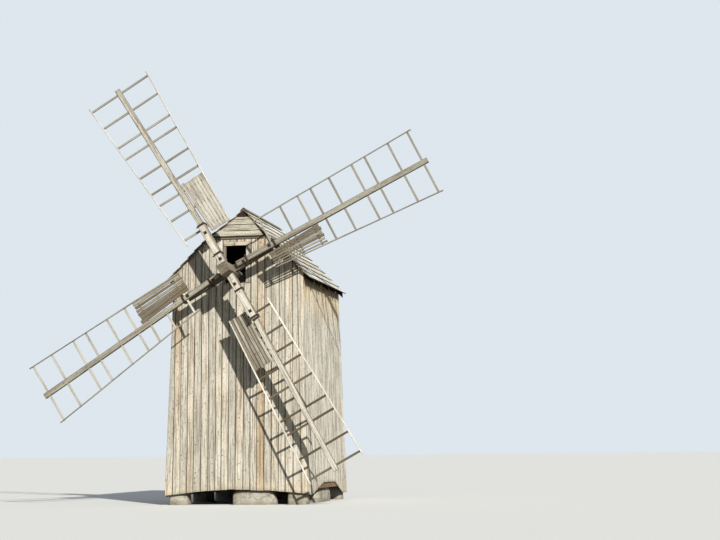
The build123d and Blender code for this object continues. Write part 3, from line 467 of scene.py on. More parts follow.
def grain_coordinates(finish, kind):
    """Coordinates whose third axis runs along the grain, for pieces that keep the frame's own mesh."""
    x, y, z = finish.split(finish.place())
    plain = {"upright": (x, y, z), "across": (y, z, x), "along": (x, z, y)}
    if kind in plain:
        return finish.vector(*plain[kind])
    if kind == "rafter":
        side = finish.size(x)
        return finish.vector(y, finish.math("ADD", side, z), finish.minus(z, side))
    body = bpy.context.scene.mill_body
    middle = (body.front + body.back) / 2.0
    side = finish.math("DIVIDE", finish.size(x), body.half_width)
    end = finish.math("DIVIDE", finish.size(y, middle), middle - body.front)
    turn = finish.math("GREATER_THAN", side, end)
    inputs = {0: turn, 4: finish.vector(y, z, x), 5: finish.vector(x, z, y)}
    return finish.add("Mix", {"data_type": "VECTOR"}, inputs).outputs[1]


def wood(name, shades, kind="plank", contrast=1.0, knots=0.74, edges=0.75, stain=False, rings=False):
    """Weathered wood.

    The shade goes from the first to the last colour with each plank's own tone. Long stretched noise
    darkens it into streaks, finer noise into fibres and specks, thin bands of slow noise into cracks, and
    scattered cells into knots that the streaks bend round. Edges are dark, partly from wear and partly as
    painted shade on the side faces and in the joints, in places less so. A stain tints the foot and the
    boards under the eave, and painted eave shade darkens the top of the side walls.
    """
    finish = Finish(bpy.data.materials.new(name))
    ramp, times, blend = finish.ramp, finish.times, finish.blend
    on_plank = kind == "plank"
    grain = finish.attribute("grain", "Vector") if on_plank else grain_coordinates(finish, kind)
    tone = finish.attribute("tone") if on_plank else 0.5
    drift = finish.noise(grain, 2.2, 0.45, 2.0)
    tone = finish.math("ADD", tone, ramp(drift, 0.3, 0.7, 0.22, -0.22), clamp=True)
    width, _, length = finish.split(grain)
    cells = finish.add("TexVoronoi", {"voronoi_dimensions": "2D"}, {
        "Vector": finish.vector(width, length, 0.0), "Scale": 6.5, "Randomness": 1.0,
    }).outputs
    luck, size, _ = finish.add("SeparateColor", None, {0: cells["Color"]}).outputs
    chosen = finish.math("GREATER_THAN", luck, knots)
    away = finish.math("DIVIDE", cells["Distance"], ramp(size, 0.0, 1.0, 1.0, 0.35))
    near, heart = times(ramp(away, 0.26, 0.06), chosen), times(ramp(away, 0.10, 0.05), chosen)
    push = finish.add("VectorMath", {"operation": "SCALE"}, {0: cells["Color"], "Scale": times(near, 0.05)})
    bent = finish.add("VectorMath", {"operation": "ADD"}, {0: grain, 1: push.outputs[0]}).outputs[0]
    streak = finish.noise(bent, 24.0, 0.7, 4.0, 0.65, 0.4)
    bleach = finish.noise(bent, 19.0, 0.9, 2.0)
    fibre = finish.noise(bent, 240.0, 5.0, 3.0, 0.65)
    patch = finish.noise(grain, 4.0, 0.9)
    speck = finish.noise(bent, 34.0, 11.0, 3.0, 0.6)
    slow = finish.noise(grain, 55.0, 0.8, 2.0)
    crack = times(ramp(finish.size(slow, 0.5), 0.014, 0.004), ramp(patch, 0.50, 0.60))

    tones = finish.add("ValToRGB", None, {0: tone})
    stops = tones.color_ramp.elements
    shades = [colour(shade) for shade in shades]
    stops[0].color, stops[1].color = shades[0], shades[-1]
    for place, shade in zip(np.linspace(0.0, 1.0, len(shades))[1:-1], shades[1:-1]):
        stops.new(place).color = shade
    shade = tones.outputs[0]
    for share, tint, way in (
        (ramp(patch, 0.35, 0.75, 0.35), "wall_grey", "MULTIPLY"),
        (ramp(bleach, 0.48, 0.60), BLEACHED, "MULTIPLY"),
        (ramp(streak, 0.50, 0.60, 0.66 * contrast), "grain", "MIX"),
        (ramp(fibre, 0.50, 0.80, 0.45 * contrast), "hollow", "MIX"),
        (ramp(speck, 0.56, 0.70, 0.60 * contrast), "grain", "MIX"),
        (ramp(speck, 0.46, 0.34), PALER, "MULTIPLY"),
    ):
        shade = blend(share, shade, tint, way)
    # The stain also paints the eave's shade on the side walls
    if stain:
        shade = stained_and_eave_shaded(finish, shade)
    for share, most, tint in ((near, 0.45, "grain"), (heart, 0.7, "knot"), (crack, 0.85, "hollow")):
        shade = blend(times(share, most), shade, tint)
    if rings:
        shade = end_grain(finish, shade)
    if on_plank:
        # Darker edges and side faces: partly wear, partly painted shade on the sides and in the joints
        edge_wear_and_shade = ramp(drift, 0.38, 0.62, edges, 0.65 * edges)
        shade = blend(times(finish.attribute("edge"), edge_wear_and_shade), shade, "hollow")
        shade = blend(ramp(finish.attribute("reach"), 0.10, 0.0, 0.35), shade, "grain")
    height = finish.minus(finish.minus(times(fibre, 0.35), times(streak, 0.45)), crack)
    return finish.close(shade, height, 0.88)


def stained_and_eave_shaded(finish, shade):
    """Shade tinted where damp climbs at the foot and where fresh wood shows under the eave, and darkened at the top of
    the side walls by painted eave shade.
    """
    head = bpy.context.scene.mill_body.side_head
    ramp, times = finish.ramp, finish.times
    place = finish.place()
    x, _, z = finish.split(place)
    drip = finish.noise(place, 9.0, 0.5)
    beside = finish.math("GREATER_THAN", finish.size(x), EAVE_SIDE)
    low = times(ramp(z, *DAMP_HEIGHTS), ramp(drip, 0.40, 0.62))
    high = times(times(ramp(z, head - FRESH_DEPTH, head), ramp(drip, 0.25, 0.55)), beside)
    share = finish.math("MAXIMUM", times(low, 0.35), times(high, 0.75))
    shade = finish.blend(share, shade, "stain")
    # Painted shade of the eave: the top of the side walls is darkened towards the knot colour
    shadow = ramp(z, head - EAVE_SHADE[0], head - EAVE_SHADE[1], 0.6)
    return finish.blend(times(shadow, beside), shade, "knot")


def end_grain(finish, shade):
    """Year rings and checks round the windshaft's middle line, for the face of its square head.

    A ring's place is the distance from the line, bent by noise; a check is a thin wedge of one direction.
    """
    sails = bpy.context.scene.mill_sails
    place = finish.place()
    x, y, z = finish.split(place)
    run = finish.times(finish.minus(sails.hub_y, y), math.tan(sails.tilt))
    side = finish.minus(x, sails.hub_x + RING_SIDE)
    rise = finish.minus(finish.minus(z, sails.hub_z), run)
    wave = finish.times(finish.noise(place, 7.0, detail=2.0), 0.06)
    squares = (finish.math("POWER", value, 2.0) for value in (side, rise))
    distance = finish.math("SQRT", finish.math("ADD", *squares))
    rings = finish.math("SINE", finish.times(finish.math("ADD", distance, wave), RING_RATE))
    rays = finish.noise(finish.vector(finish.math("ARCTAN2", rise, side), 0.0, 0.0), 5.0, detail=2.0)
    check = finish.ramp(finish.size(rays, 0.5), 0.022, 0.004, 0.8)
    normal = finish.split(finish.add("NewGeometry").outputs["Normal"])
    face = finish.math("LESS_THAN", normal[1], -0.9)
    ringed = finish.blend(finish.ramp(rings, -0.2, 1.0, 0.5), shade, "grain")
    return finish.blend(face, shade, finish.blend(check, ringed, "hollow"))


def forged_iron(name):
    """Dark iron with patches of rust and a hammered surface."""
    finish = Finish(bpy.data.materials.new(name))
    place = finish.place()
    blotch = finish.noise(place, 22.0, detail=5.0, roughness=0.65)
    pit = finish.noise(place, 160.0)
    shade = finish.blend(finish.ramp(blotch, 0.45, 0.65), "iron", "rust")
    shade = finish.blend(finish.ramp(pit, 0.55, 0.75, 0.5), shade, "hollow")
    return finish.close(shade, pit, 0.62, 0.002, metallic=0.5)


def field_stone(name):
    """Pale stone with grains, darker veins, lichen and damp at the foot."""
    finish = Finish(bpy.data.materials.new(name))
    place = finish.place()
    large = finish.noise(place, 3.0, 4.0, 4.0, 0.6)
    speck = finish.noise(place, 70.0, roughness=0.7)
    vein = finish.size(finish.noise(place, 2.0, 5.0, 4.0), 0.5)
    lichen = finish.noise(place, 11.0, detail=5.0, roughness=0.7)
    shade = finish.blend(finish.ramp(large, 0.35, 0.65), "stone", "wall_grey")
    for share, tint in (
        (finish.ramp(speck, 0.52, 0.75, 0.45), "grain"),
        (finish.ramp(vein, 0.02, 0.0, 0.5), "hollow"),
        (finish.ramp(lichen, 0.58, 0.68, 0.4), "wall_pale"),
        (finish.ramp(finish.split(place)[2], 0.16, 0.0, 0.45), "grain"),
    ):
        shade = finish.blend(share, shade, tint)
    height = finish.math("ADD", finish.times(large, 2.0), finish.times(speck, 0.3))
    return finish.close(shade, height, 0.9, 0.02, 0.5)


def finish_named(name):
    """Material of that name, made once."""
    found = bpy.data.materials.get(name)
    if found:
        return found
    if name in WOODS:
        shades, settings = WOODS[name]
        return wood(name, shades.split(), **settings)
    return {"forged_iron": forged_iron, "field_stone": field_stone}[name](name)


def piece(name, vertices, faces, kind, material, replaced=(), values=None):
    """New piece of the body named in its kind, from its points and faces, in place of the frame's nodes it replaces.
    """
    mesh = bpy.data.meshes.new(name)
    mesh.from_pydata(vertices.reshape(-1, 3).tolist(), [], faces)
    for key, value in (values or {}).items():
        flat = np.ascontiguousarray(value, np.float32)
        vector = flat.ndim > 1 and flat.shape[-1] == 3
        kept = mesh.attributes.new(key, "FLOAT_VECTOR" if vector else "FLOAT", "POINT")
        kept.data.foreach_set("vector" if vector else "value", flat.ravel())
    mesh.materials.append(finish_named(material))
    mesh.validate()
    mesh.update()
    made = bpy.data.objects.new(name, mesh)
    bpy.context.scene.collection.objects.link(made)
    body, slot = kind
    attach(made, body)
    if replaced:
        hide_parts(*replaced)


def tubes(count, rows, points):
    """Faces of closed tubes: quads between a ring's points and the next ring's, and a face over each end."""
    number = np.arange(count * rows * points).reshape(count, rows, points)
    after = np.roll(number, -1, axis=2)
    sides = np.stack((number[:, :-1], after[:, :-1], after[:, 1:], number[:, 1:]), -1).reshape(-1, 4)
    return sides.tolist() + number[:, 0, ::-1].tolist() + number[:, -1].tolist()


def section(rounding, bow, spread):
    """Section of a squared timber: share of the width, side step, share of the depth, step out, and edge, the share of
    the edge darkening, which is partly wear and partly painted shade.

    Its back is wider by the spread on each side, which closes a joint behind its open groove.
    """
    band = 0.012
    half = (
        (0.0, -spread, 1.0, 0.0, 1.0),
        (0.0, 0.0, 0.0, -rounding, 1.0),
        (0.0, rounding, 0.0, 0.0, 0.8),
        (0.0, rounding + band, 0.0, 0.0, 0.0),
    )
    mirrored = tuple((1.0, -side, deep, out, edge) for _, side, deep, out, edge in half[::-1])
    return np.array((*half, (0.5, 0.0, 0.0, bow, 0.0), *mirrored)).T


def planks(name, corners, outward, depth, kind, material, replaced=(), tones=None, rows=14,
           rounding=0.004, wander=0.003, bow=0.0, spread=0.0, curl=0.0, seed=1):
    """Boards or squared timbers in one piece.

    Each follows four corners: start left, start right, end left, end right. A point at t along and s
    across is (1 - t) * start + t * end with s between left and right, and a chamfered section of the
    given depth hangs below it. Each edge moves in by wander * (1 + mean of three sines of t), and curl
    lifts the first quarter of the length by curl * (1 - 4 t) squared.
    """
    random = np.random.default_rng(seed)
    corners = np.asarray(corners, float).reshape(-1, 4, 3)
    count = len(corners)
    hint = np.broadcast_to(np.asarray(outward, float), (count, 3))
    depth = np.broadcast_to(np.asarray(depth, float), (count, 2))
    curl = np.broadcast_to(np.asarray(curl, float), (count,))
    tones = random.random(count) if tones is None else np.asarray(tones, float)
    normal = np.cross(corners[:, 1] - corners[:, 0], corners[:, 2] - corners[:, 0])
    turned = (normal * hint).sum(-1) < 0
    corners = np.where(turned[:, None, None], corners[:, (1, 0, 3, 2)], corners)
    normal = unit(np.where(turned[:, None], -normal, normal))

    t = np.linspace(0.0, 1.0, rows)
    share = t[None, :, None]
    left = mix(corners[:, None, 0], corners[:, None, 2], share)
    right = mix(corners[:, None, 1], corners[:, None, 3], share)
    run = np.linalg.norm((corners[:, 2:] - corners[:, :2]).mean(1), axis=-1)
    across = unit(right - left)
    turns = random.uniform(0.4, 2.6, (count, 1, 2, 3)) * t[None, :, None, None]
    waves = np.sin(2 * np.pi * (turns + random.random((count, 1, 2, 3)))).mean(-1)
    inward = wander * (1.0 + waves)
    left = left + across * inward[..., :1]
    right = right - across * inward[..., 1:]
    span = np.linalg.norm(right - left, axis=-1)
    wide, side, deep, out, edge = section(rounding, bow, spread)
    at = mix(depth[:, None, 0], depth[:, None, 1], t)
    lift = curl[:, None] * np.clip(1.0 - 4.0 * t, 0.0, 1.0) ** 2
    offset = (span[..., None] * wide + side)[..., None]
    height = (out - deep * at[..., None] + lift[..., None])[..., None]
    vertices = left[:, :, None] + across[:, :, None] * offset + normal[:, None, None] * height

    shape = (count, rows, len(wide))
    shift = random.uniform(0.0, 40.0, (count, 1, 1, 3))
    grain = (offset[..., 0], deep * at[..., None], (t * run[:, None])[..., None])
    values = {
        "grain": np.stack([np.broadcast_to(part, shape) for part in grain], -1) + shift,
        "tone": np.broadcast_to(tones[:, None, None], shape),
        "edge": np.broadcast_to(edge, shape),
        "reach": np.broadcast_to((np.minimum(t, 1.0 - t) * run[:, None])[..., None], shape),
    }
    piece(name, vertices, tubes(*shape), kind, material, replaced, values)


def studs(name, places, outward, radius, height, kind, material, seed=1):
    """Low round heads, such as nails.

    A head is a ring of six points of its radius on the surface, a smaller ring above it and a top:
    place + radius * (cos a * side + sin a * up) + height * outward.
    """
    random = np.random.default_rng(seed)
    outward = unit(np.broadcast_to(np.asarray(outward, float), places.shape))
    side = unit(np.cross(outward, (0.13, 0.29, 0.95)))
    up = np.cross(outward, side)
    angle = np.linspace(0.0, 2 * np.pi, 6, endpoint=False) + random.random((len(places), 1))
    ring = np.cos(angle)[..., None] * side[:, None] + np.sin(angle)[..., None] * up[:, None]
    low = places[:, None] + ring * radius
    high = places[:, None] + ring * radius * 0.7 + outward[:, None] * height
    piece(name, np.concatenate((low, high), 1), tubes(len(places), 2, 6), kind, material)


def wall_point(side, place, height, proud=0.0):
    """Point on a wall's leaning outer face, from its place along the wall and its height."""
    body = bpy.context.scene.mill_body
    place, height = np.broadcast_arrays(np.asarray(place, float), np.asarray(height, float))
    if side == "front":
        return np.stack((place, body.front + body.lean_front * height - proud, height), -1)
    if side == "back":
        return np.stack((place, body.back - body.lean_front * height + proud, height), -1)
    sign = -1.0 if side == "left" else 1.0
    return np.stack((sign * (body.half_width - body.lean_side * height + proud), place, height), -1)


def wall_outward(side):
    """Direction out of a wall."""
    body = bpy.context.scene.mill_body
    return {
        "front": (0.0, -1.0, body.lean_front), "back": (0.0, 1.0, body.lean_front),
        "left": (-1.0, 0.0, body.lean_side), "right": (1.0, 0.0, body.lean_side),
    }[side]


def board_strips(side, edges, heads, random):
    """Two edges of each whole board of a wall: places at the foot, feet, places at the head, heads.

    An edge's place is its base plus its slope times the height, and a part of a joint is left off each side.
    The foot follows the wall's foot line, the head the given heights of the two edges.
    """
    gap = bpy.context.scene.mill_body.joint * random.uniform(0.3, 0.75, (len(edges) - 1, 2))
    base = np.stack((edges[:-1, 0] + gap[:, 0], edges[1:, 0] - gap[:, 1]))
    slope = np.stack((edges[:-1, 1], edges[1:, 1]))
    foot = np.interp(base, *WALL_FEET[side]) + random.uniform(-0.008, 0.006, base.shape[1])
    head = np.stack((heads[:-1], heads[1:]))
    return base + slope * foot, foot, base + slope * head, head


def wall_boards(side, edges, heads, tones, replaced, seed, cut=None):
    """Vertical boards of one wall, stepped at the foot and cut to the roof."""
    parts = [[*board_strips(side, edges, heads, np.random.default_rng(seed)), np.arange(len(tones))]]
    if cut is not None:
        parts = cut(*parts[0])
    proud = np.random.default_rng(seed + 5).uniform(-0.003, 0.003, len(tones))
    corners, picked = [], []
    for low, foot, high, head, index in parts:
        places = zip((*low, *high), (*foot, *head))
        corners.append(np.stack([wall_point(side, place, height, proud[index]) for place, height in places], 1))
        picked.append(np.asarray(tones)[index])
    material = "wall_wood" if side == "front" else "side_wood"
    planks(
        f"{side}_boards", np.concatenate(corners), wall_outward(side), bpy.context.scene.mill_body.thickness, WALL,
        material, replaced, tones=np.concatenate(picked), rows=24, wander=0.0018, bow=0.0015, spread=0.006, seed=seed,
    )


def round_the_hatch(low, foot, high, head, index):
    """Front boards divided at the hatch: below it, above it and, for those it cuts, beside it."""
    body = bpy.context.scene.mill_body
    narrow = 0.01
    crossed = (high[1] > body.hatch_left) & (high[0] < body.hatch_right)
    parts = [[value[..., ~crossed] for value in (low, foot, high, head, index)]]
    low, foot, high, head, index = (value[..., crossed] for value in (low, foot, high, head, index))
    sill, lintel = (np.full_like(head, height) for height in (body.hatch_foot, body.hatch_top))
    first, last = (mix(low, high, (height - foot) / (head - foot)) for height in (sill, lintel))
    parts += [[low, foot, first, sill, index], [last, lintel, high, head, index]]
    for cut, edge, keep in (
        (1, body.hatch_left, first[0] < body.hatch_left - narrow),
        (0, body.hatch_right, first[1] > body.hatch_right + narrow),
    ):
        beside = [value[..., keep] for value in (first, sill, last, lintel, index)]
        beside[0][cut] = beside[2][cut] = edge
        parts.append(beside)
    return parts


def front_edges():
    """Edges of the front boards as base and slope: the joints between the wall's two corners."""
    body = bpy.context.scene.mill_body
    joints = np.array(FRONT_JOINTS)
    slope = (joints[:, 1] - joints[:, 0]) / (JOINT_HEIGHTS[1] - JOINT_HEIGHTS[0])
    base = joints[:, 0] - slope * JOINT_HEIGHTS[0]
    corner = np.array(((-body.half_width, body.lean_side), (body.half_width, -body.lean_side)))
    return np.concatenate((corner[:1], np.stack((base, slope), -1), corner[1:]))


def gable_heads(edges, top):
    """Heights where the edges meet the slopes of 45 degrees, none above the top."""
    base, slope = edges.T
    sign = np.where(base < 0, -1.0, 1.0)
    return np.minimum((bpy.context.scene.mill_body.gable_apex - sign * base) / (1.0 + sign * slope), top)


def side_edges(random):
    """Edges of a side wall's boards, which close up evenly towards the top."""
    body = bpy.context.scene.mill_body
    share = np.linspace(-1.0, 1.0, SIDE_BOARDS + 1)
    share[1:-1] += random.uniform(-0.2, 0.2, SIDE_BOARDS - 1) / SIDE_BOARDS
    middle, half = (body.front + body.back) / 2.0, (body.back - body.front) / 2.0
    return np.stack((middle + share * half, -share * body.lean_front), -1)


def slope_point(sign, down, place, out):
    """Point on a roof slope: distance down from the ridge, place along the body, height over the boards."""
    down, place, out = np.broadcast_arrays(*(np.asarray(value, float) for value in (down, place, out)))
    height = bpy.context.scene.mill_roof.ridge - (down - out) / ROOT_TWO
    return np.stack((sign * (down + out) / ROOT_TWO, place, height), -1)


class MILL_OT_walls(bpy.types.Operator):
    """Four walls of vertical boards, the front one with the hatch"""

    bl_idname = "mill.walls"
    bl_label = "Wall boards"

    def execute(self, context):
        body = context.scene.mill_body
        edges = front_edges()
        nodes = [f"front_wall_{part}" for part in ("left", "right", "below", "above")]
        wall_boards("front", edges, gable_heads(edges, body.hip_head), FRONT_TONES, nodes, 11, round_the_hatch)
        random = np.random.default_rng(23)
        heads = gable_heads(edges, body.gable_apex)
        peak = int(np.argmin(np.abs(edges[:, 0])))
        edges[peak], heads[peak] = (0.0, 0.0), body.gable_apex
        wall_boards("back", edges, heads, random.beta(1.6, 2.6, len(edges) - 1), ["back_wall"], 29)
        for side, seed in (("left", 31), ("right", 37)):
            edges = side_edges(random)
            heads = np.full(len(edges), body.side_head)
            wall_boards(side, edges, heads, random.beta(1.6, 2.2, SIDE_BOARDS), [f"{side}_wall"], seed)
        return {"FINISHED"}


class MILL_OT_hatch(bpy.types.Operator):
    """Lintel pieces and jamb boards round the hatch"""

    bl_idname = "mill.hatch"
    bl_label = "Hatch boards"

    def execute(self, context):
        body = context.scene.mill_body
        top, proud = body.hatch_top, HATCH_FRAME + OFF_WALL
        corners = [
            [wall_point("front", x, top + z, proud) for x in (left, right) for z in (low, high)]
            for left, right, low, high in LINTELS
        ]
        ends = (body.hatch_foot + JAMB_ENDS[0], top - JAMB_ENDS[1])
        corners += [[wall_point("front", x, z, proud) for z in ends for x in edges] for edges in JAMBS]
        planks(
            "hatch_frame", corners, wall_outward("front"), HATCH_FRAME, WALL, "wall_wood", ["hatch_boards"],
            tones=(0.70, 0.80, 0.25, 0.15), rows=12, bow=0.002, seed=41,
        )
        return {"FINISHED"}


class MILL_OT_slopes(bpy.types.Operator):
    """Roof slopes of lapped boards laid along the ridge"""

    bl_idname = "mill.slopes"
    bl_label = "Roof slopes"

    def execute(self, context):
        roof = context.scene.mill_roof
        count = roof.courses
        for sign, side, seed in ((-1.0, "left", 43), (1.0, "right", 47)):
            random = np.random.default_rng(seed)
            low = roof.slope_length - roof.slope_length / count * np.arange(count)
            low[1:] += random.uniform(-0.012, 0.012, count - 1)
            up = np.append(low[1:], 0.0) - roof.lap
            up[-1] = 0.004
            start = np.interp(roof.ridge - np.stack((low, up)) / ROOT_TWO, *VERGE)
            start += random.uniform(-0.018, 0.008, count)
            end = roof.verge_back + random.uniform(-0.02, 0.02, count)
            cut = random.uniform(*CUTS, count)
            whole = random.random(count) < WHOLE_SHARE
            corners = []
            for first, last, keep in (
                (start, np.where(whole, end, cut - CUT_GAP), np.ones_like(whole)),
                (np.stack((cut, cut)) + CUT_GAP, end, ~whole),
            ):
                corners.append(np.stack((
                    slope_point(sign, low, first[0], 0.0), slope_point(sign, up, first[1], -roof.board),
                    slope_point(sign, low, last, 0.0), slope_point(sign, up, last, -roof.board),
                ), 1)[keep])
            planks(
                f"roof_courses_{side}", np.concatenate(corners), (sign, 0.0, 1.0), roof.board, ROOF, "roof_wood",
                [f"roof_{side}"], rows=16, rounding=0.003, bow=0.001, seed=seed,
            )
        return {"FINISHED"}


class MILL_OT_hip(bpy.types.Operator):
    """Half hip of four lapped courses over the front wall, and the dark board under its edge, whose darkness is partly
    painted shade
    """

    bl_idname = "mill.hip"
    bl_label = "Half hip"

    def execute(self, context):
        roof = context.scene.mill_roof
        rise = unit(HIP_RISE)
        out = np.array((0.0, -rise[2], rise[1]))
        origin = np.array((0.0, roof.hip_foot_y, roof.hip_foot_z))
        low = np.array(HIP_COURSES)
        up = np.append(low[1:] + roof.lap, roof.hip_length)

        def point(sign, along, lift):
            half = mix(roof.hip_foot_half, roof.hip_head_half, along / roof.hip_length)
            return origin + (sign * half)[:, None] * (1.0, 0.0, 0.0) + along[:, None] * rise + lift * out

        corners = [point(sign, along, lift) for sign in (-1.0, 1.0) for along, lift in ((low, 0.0), (up, -roof.board))]
        planks(
            "hip_courses", np.stack(corners, 1), out, np.array(HIP_BOARDS)[:, None], ROOF, "hip_wood", ["roof_hip"],
            tones=(0.3, 0.6, 0.4, 0.7), rows=20, rounding=0.005, wander=0.005, curl=HIP_CURLS, seed=53,
        )
        # Dark board under the half hip: its own wood, darkened as painted shade under the hip's edge
        planks(
            "hip_fascia", [wall_point("front", x, z, FASCIA_BOARD + OFF_WALL) for x, *ends in FASCIA for z in ends],
            wall_outward("front"), FASCIA_BOARD, WALL, "ridge_wood", tones=(0.0,), rows=24, seed=57,
        )
        return {"FINISHED"}


class MILL_OT_ridge(bpy.types.Operator):
    """Two boards over the ridge"""

    bl_idname = "mill.ridge"
    bl_label = "Ridge boards"

    def execute(self, context):
        places = (*RIDGE_START, *[context.scene.mill_roof.verge_back] * 2)
        corners = [
            slope_point(sign, (upper, RIDGE_LOWER[0], upper, RIDGE_LOWER[1]), places, RIDGE_BOARD + OFF_WALL)
            for sign, upper in RIDGE_UPPER
        ]
        outward = [(sign, 0.0, 1.0) for sign, _ in RIDGE_UPPER]
        # Their dark wood is partly painted shade on the ridge cap's edge
        planks(
            "ridge_boards", corners, outward, RIDGE_BOARD, ROOF, "ridge_wood", ["ridge_cap"],
            tones=(0.2, 0.35), rows=24, seed=59,
        )
        return {"FINISHED"}


def rotor_axes():
    """Hub, direction across, direction up and direction forward of the rotor, as arrays."""
    sails = bpy.context.scene.mill_sails
    hub = np.array((sails.hub_x, sails.hub_y, sails.hub_z))
    across = np.array((1.0, 0.0, 0.0))
    forward = np.array((0.0, -math.cos(sails.tilt), math.sin(sails.tilt)))
    return hub, across, np.cross(forward, across), forward


def arm(angle):
    """Origin, direction out along an arm and direction to its side, for an angle in degrees."""
    hub, across, up, _ = rotor_axes()
    turn = math.radians(angle)
    return hub, across * math.cos(turn) + up * math.sin(turn), up * math.cos(turn) - across * math.sin(turn)


def whip_line(sail):
    """Origin, direction and side of a sail's whip, which crosses its stock's middle line at the pivot."""
    sails = bpy.context.scene.mill_sails
    lap = STOCKS[sail.stock].angle + sail.half_turn
    turn = math.radians(sail.angle - lap)
    rest = sails.whip_tip * math.cos(turn) - sails.whip_pivot
    sweep = math.degrees(math.atan(sails.whip_tip * math.sin(turn) / rest))
    hub, out, _ = arm(lap)
    _, along, side = arm(lap + sweep)
    return hub + (out - along) * sails.whip_pivot, along, side


def bar_point(sail, radius, across):
    """Point on a bar's middle line at a radius, and the bar's direction, twisted less the further out it is."""
    origin, along, side = whip_line(sail)
    lean = np.radians(TWIST - TWIST_LOSS * (radius - TWIST_RADIUS))
    tilted = np.cos(lean)[..., None] * side + np.sin(lean)[..., None] * rotor_axes()[3]
    return origin + radius[..., None] * along + across[..., None] * tilted, tilted


def strip(start, end, side, widths):
    """Four corners of a strip from start to end, given its side direction and its two widths."""
    first, last = (side * np.asarray(width) / 2.0 for width in widths)
    return np.stack((start - first, start + first, end - last, end + last), -2)


def sail_piece(name, part, corners, depth, material, **settings):
    """Boards or timbers of one sail, which stand for its frame's node."""
    planks(f"{name}_{part}", corners, rotor_axes()[3], depth, SAIL, material, [f"{part}_{name}"], **settings)


class MILL_OT_stocks(bpy.types.Operator):
    """The two stocks that cross in the head of the windshaft"""

    bl_idname = "mill.stocks"
    bl_label = "Stocks"

    def execute(self, context):
        sails = context.scene.mill_sails
        forward = rotor_axes()[3]
        for name, stock in STOCKS.items():
            hub, along, side = arm(stock.angle)
            face = sails.whip_depth / 2.0 + sails.stock_depth if name == "front" else -sails.whip_depth / 2.0
            start, end = (hub + reach * along + face * forward for reach in (-stock.ends[1], stock.ends[0]))
            planks(
                f"{name}_stock", strip(start, end, side, (sails.stock_width,) * 2), forward, sails.stock_depth,
                STOCK, stock.wood, [f"stock_{name}"], tones=(0.4,), rows=20, rounding=0.010, seed=61,
            )
        return {"FINISHED"}


class MILL_OT_whips(bpy.types.Operator):
    """The four tapering whips"""

    bl_idname = "mill.whips"
    bl_label = "Whips"

    def execute(self, context):
        sails = context.scene.mill_sails
        forward = rotor_axes()[3]
        for number, (name, sail) in enumerate(SAILS.items()):
            origin, along, side = whip_line(sail)
            start = origin + along * sails.whip_root + forward * sails.whip_depth / 2.0
            end = origin + along * sails.whip_tip + forward * sails.whip_tip_depth / 2.0
            widths = (STOCKS[sail.stock].whip_width, sails.whip_tip_width)
            sail_piece(
                name, "whip", strip(start, end, side, widths), (sails.whip_depth, sails.whip_tip_depth),
                sail.woods[0], tones=(0.6,), rows=40, rounding=0.009, wander=0.005, seed=67 + number,
            )
        return {"FINISHED"}


class MILL_OT_lattices(bpy.types.Operator):
    """Bars and outer rods of the four sails"""

    bl_idname = "mill.lattices"
    bl_label = "Bars and rods"

    def execute(self, context):
        sails = context.scene.mill_sails
        for number, (name, sail) in enumerate(SAILS.items()):
            along, side = whip_line(sail)[1:]
            ahead, behind = (half[0] + half[1] * (BAR_RADII - MIDDLE_RADIUS) for half in (sail.ahead, sail.behind))
            first, tilted = bar_point(sail, BAR_RADII, -behind - BAR_END)
            last = bar_point(sail, BAR_RADII, ahead + BAR_END)[0]
            lift = np.cross(along, tilted) * sails.bar_thickness / 2.0
            sail_piece(
                name, "bars", strip(first + lift, last + lift, along, (sails.bar_width,) * 2),
                sails.bar_thickness, sail.woods[1], rows=16, rounding=0.006, seed=71 + number,
            )
            rods = []
            for reached in (ahead, -behind):
                ends = bar_point(sail, BAR_RADII[[-1, 0]], reached[[-1, 0]])[0]
                run = unit(ends[1] - ends[0])
                out = unit(np.cross(run, side))
                inner, outer = ends + out * (sails.bar_thickness / 2.0 + sails.rod_thickness - ROD_SUNK)
                widths = sails.rod_width * np.array(sail.rod_widths)
                across = unit(np.cross(out, run))
                rods.append(strip(inner - run * ROD_ENDS[0], outer + run * ROD_ENDS[1], across, widths))
            sail_piece(
                name, "rods", rods, sails.rod_thickness, sail.woods[2],
                tones=(0.9, 0.7), rows=40, rounding=0.007, wander=0.004, seed=79 + number,
            )
        return {"FINISHED"}


def board_lines(sail, radius):
    """Distances from a whip's middle line to the joints of its boards, at a radius."""
    sails = bpy.context.scene.mill_sails
    outward = (sails.board_tip - sails.whip_root) / (sails.whip_tip - sails.whip_root)
    near_tip = mix(STOCKS[sail.stock].whip_width, sails.whip_tip_width, outward) / 2.0 + BOARD_GAP
    share = (radius - sails.board_root) / (sails.board_tip - sails.board_root)
    far = sail.behind[0] + sail.behind[1] * (radius - MIDDLE_RADIUS) - sails.rod_width / 2.0
    return np.linspace(mix(sails.board_near, near_tip, share), far, sails.boards + 1)


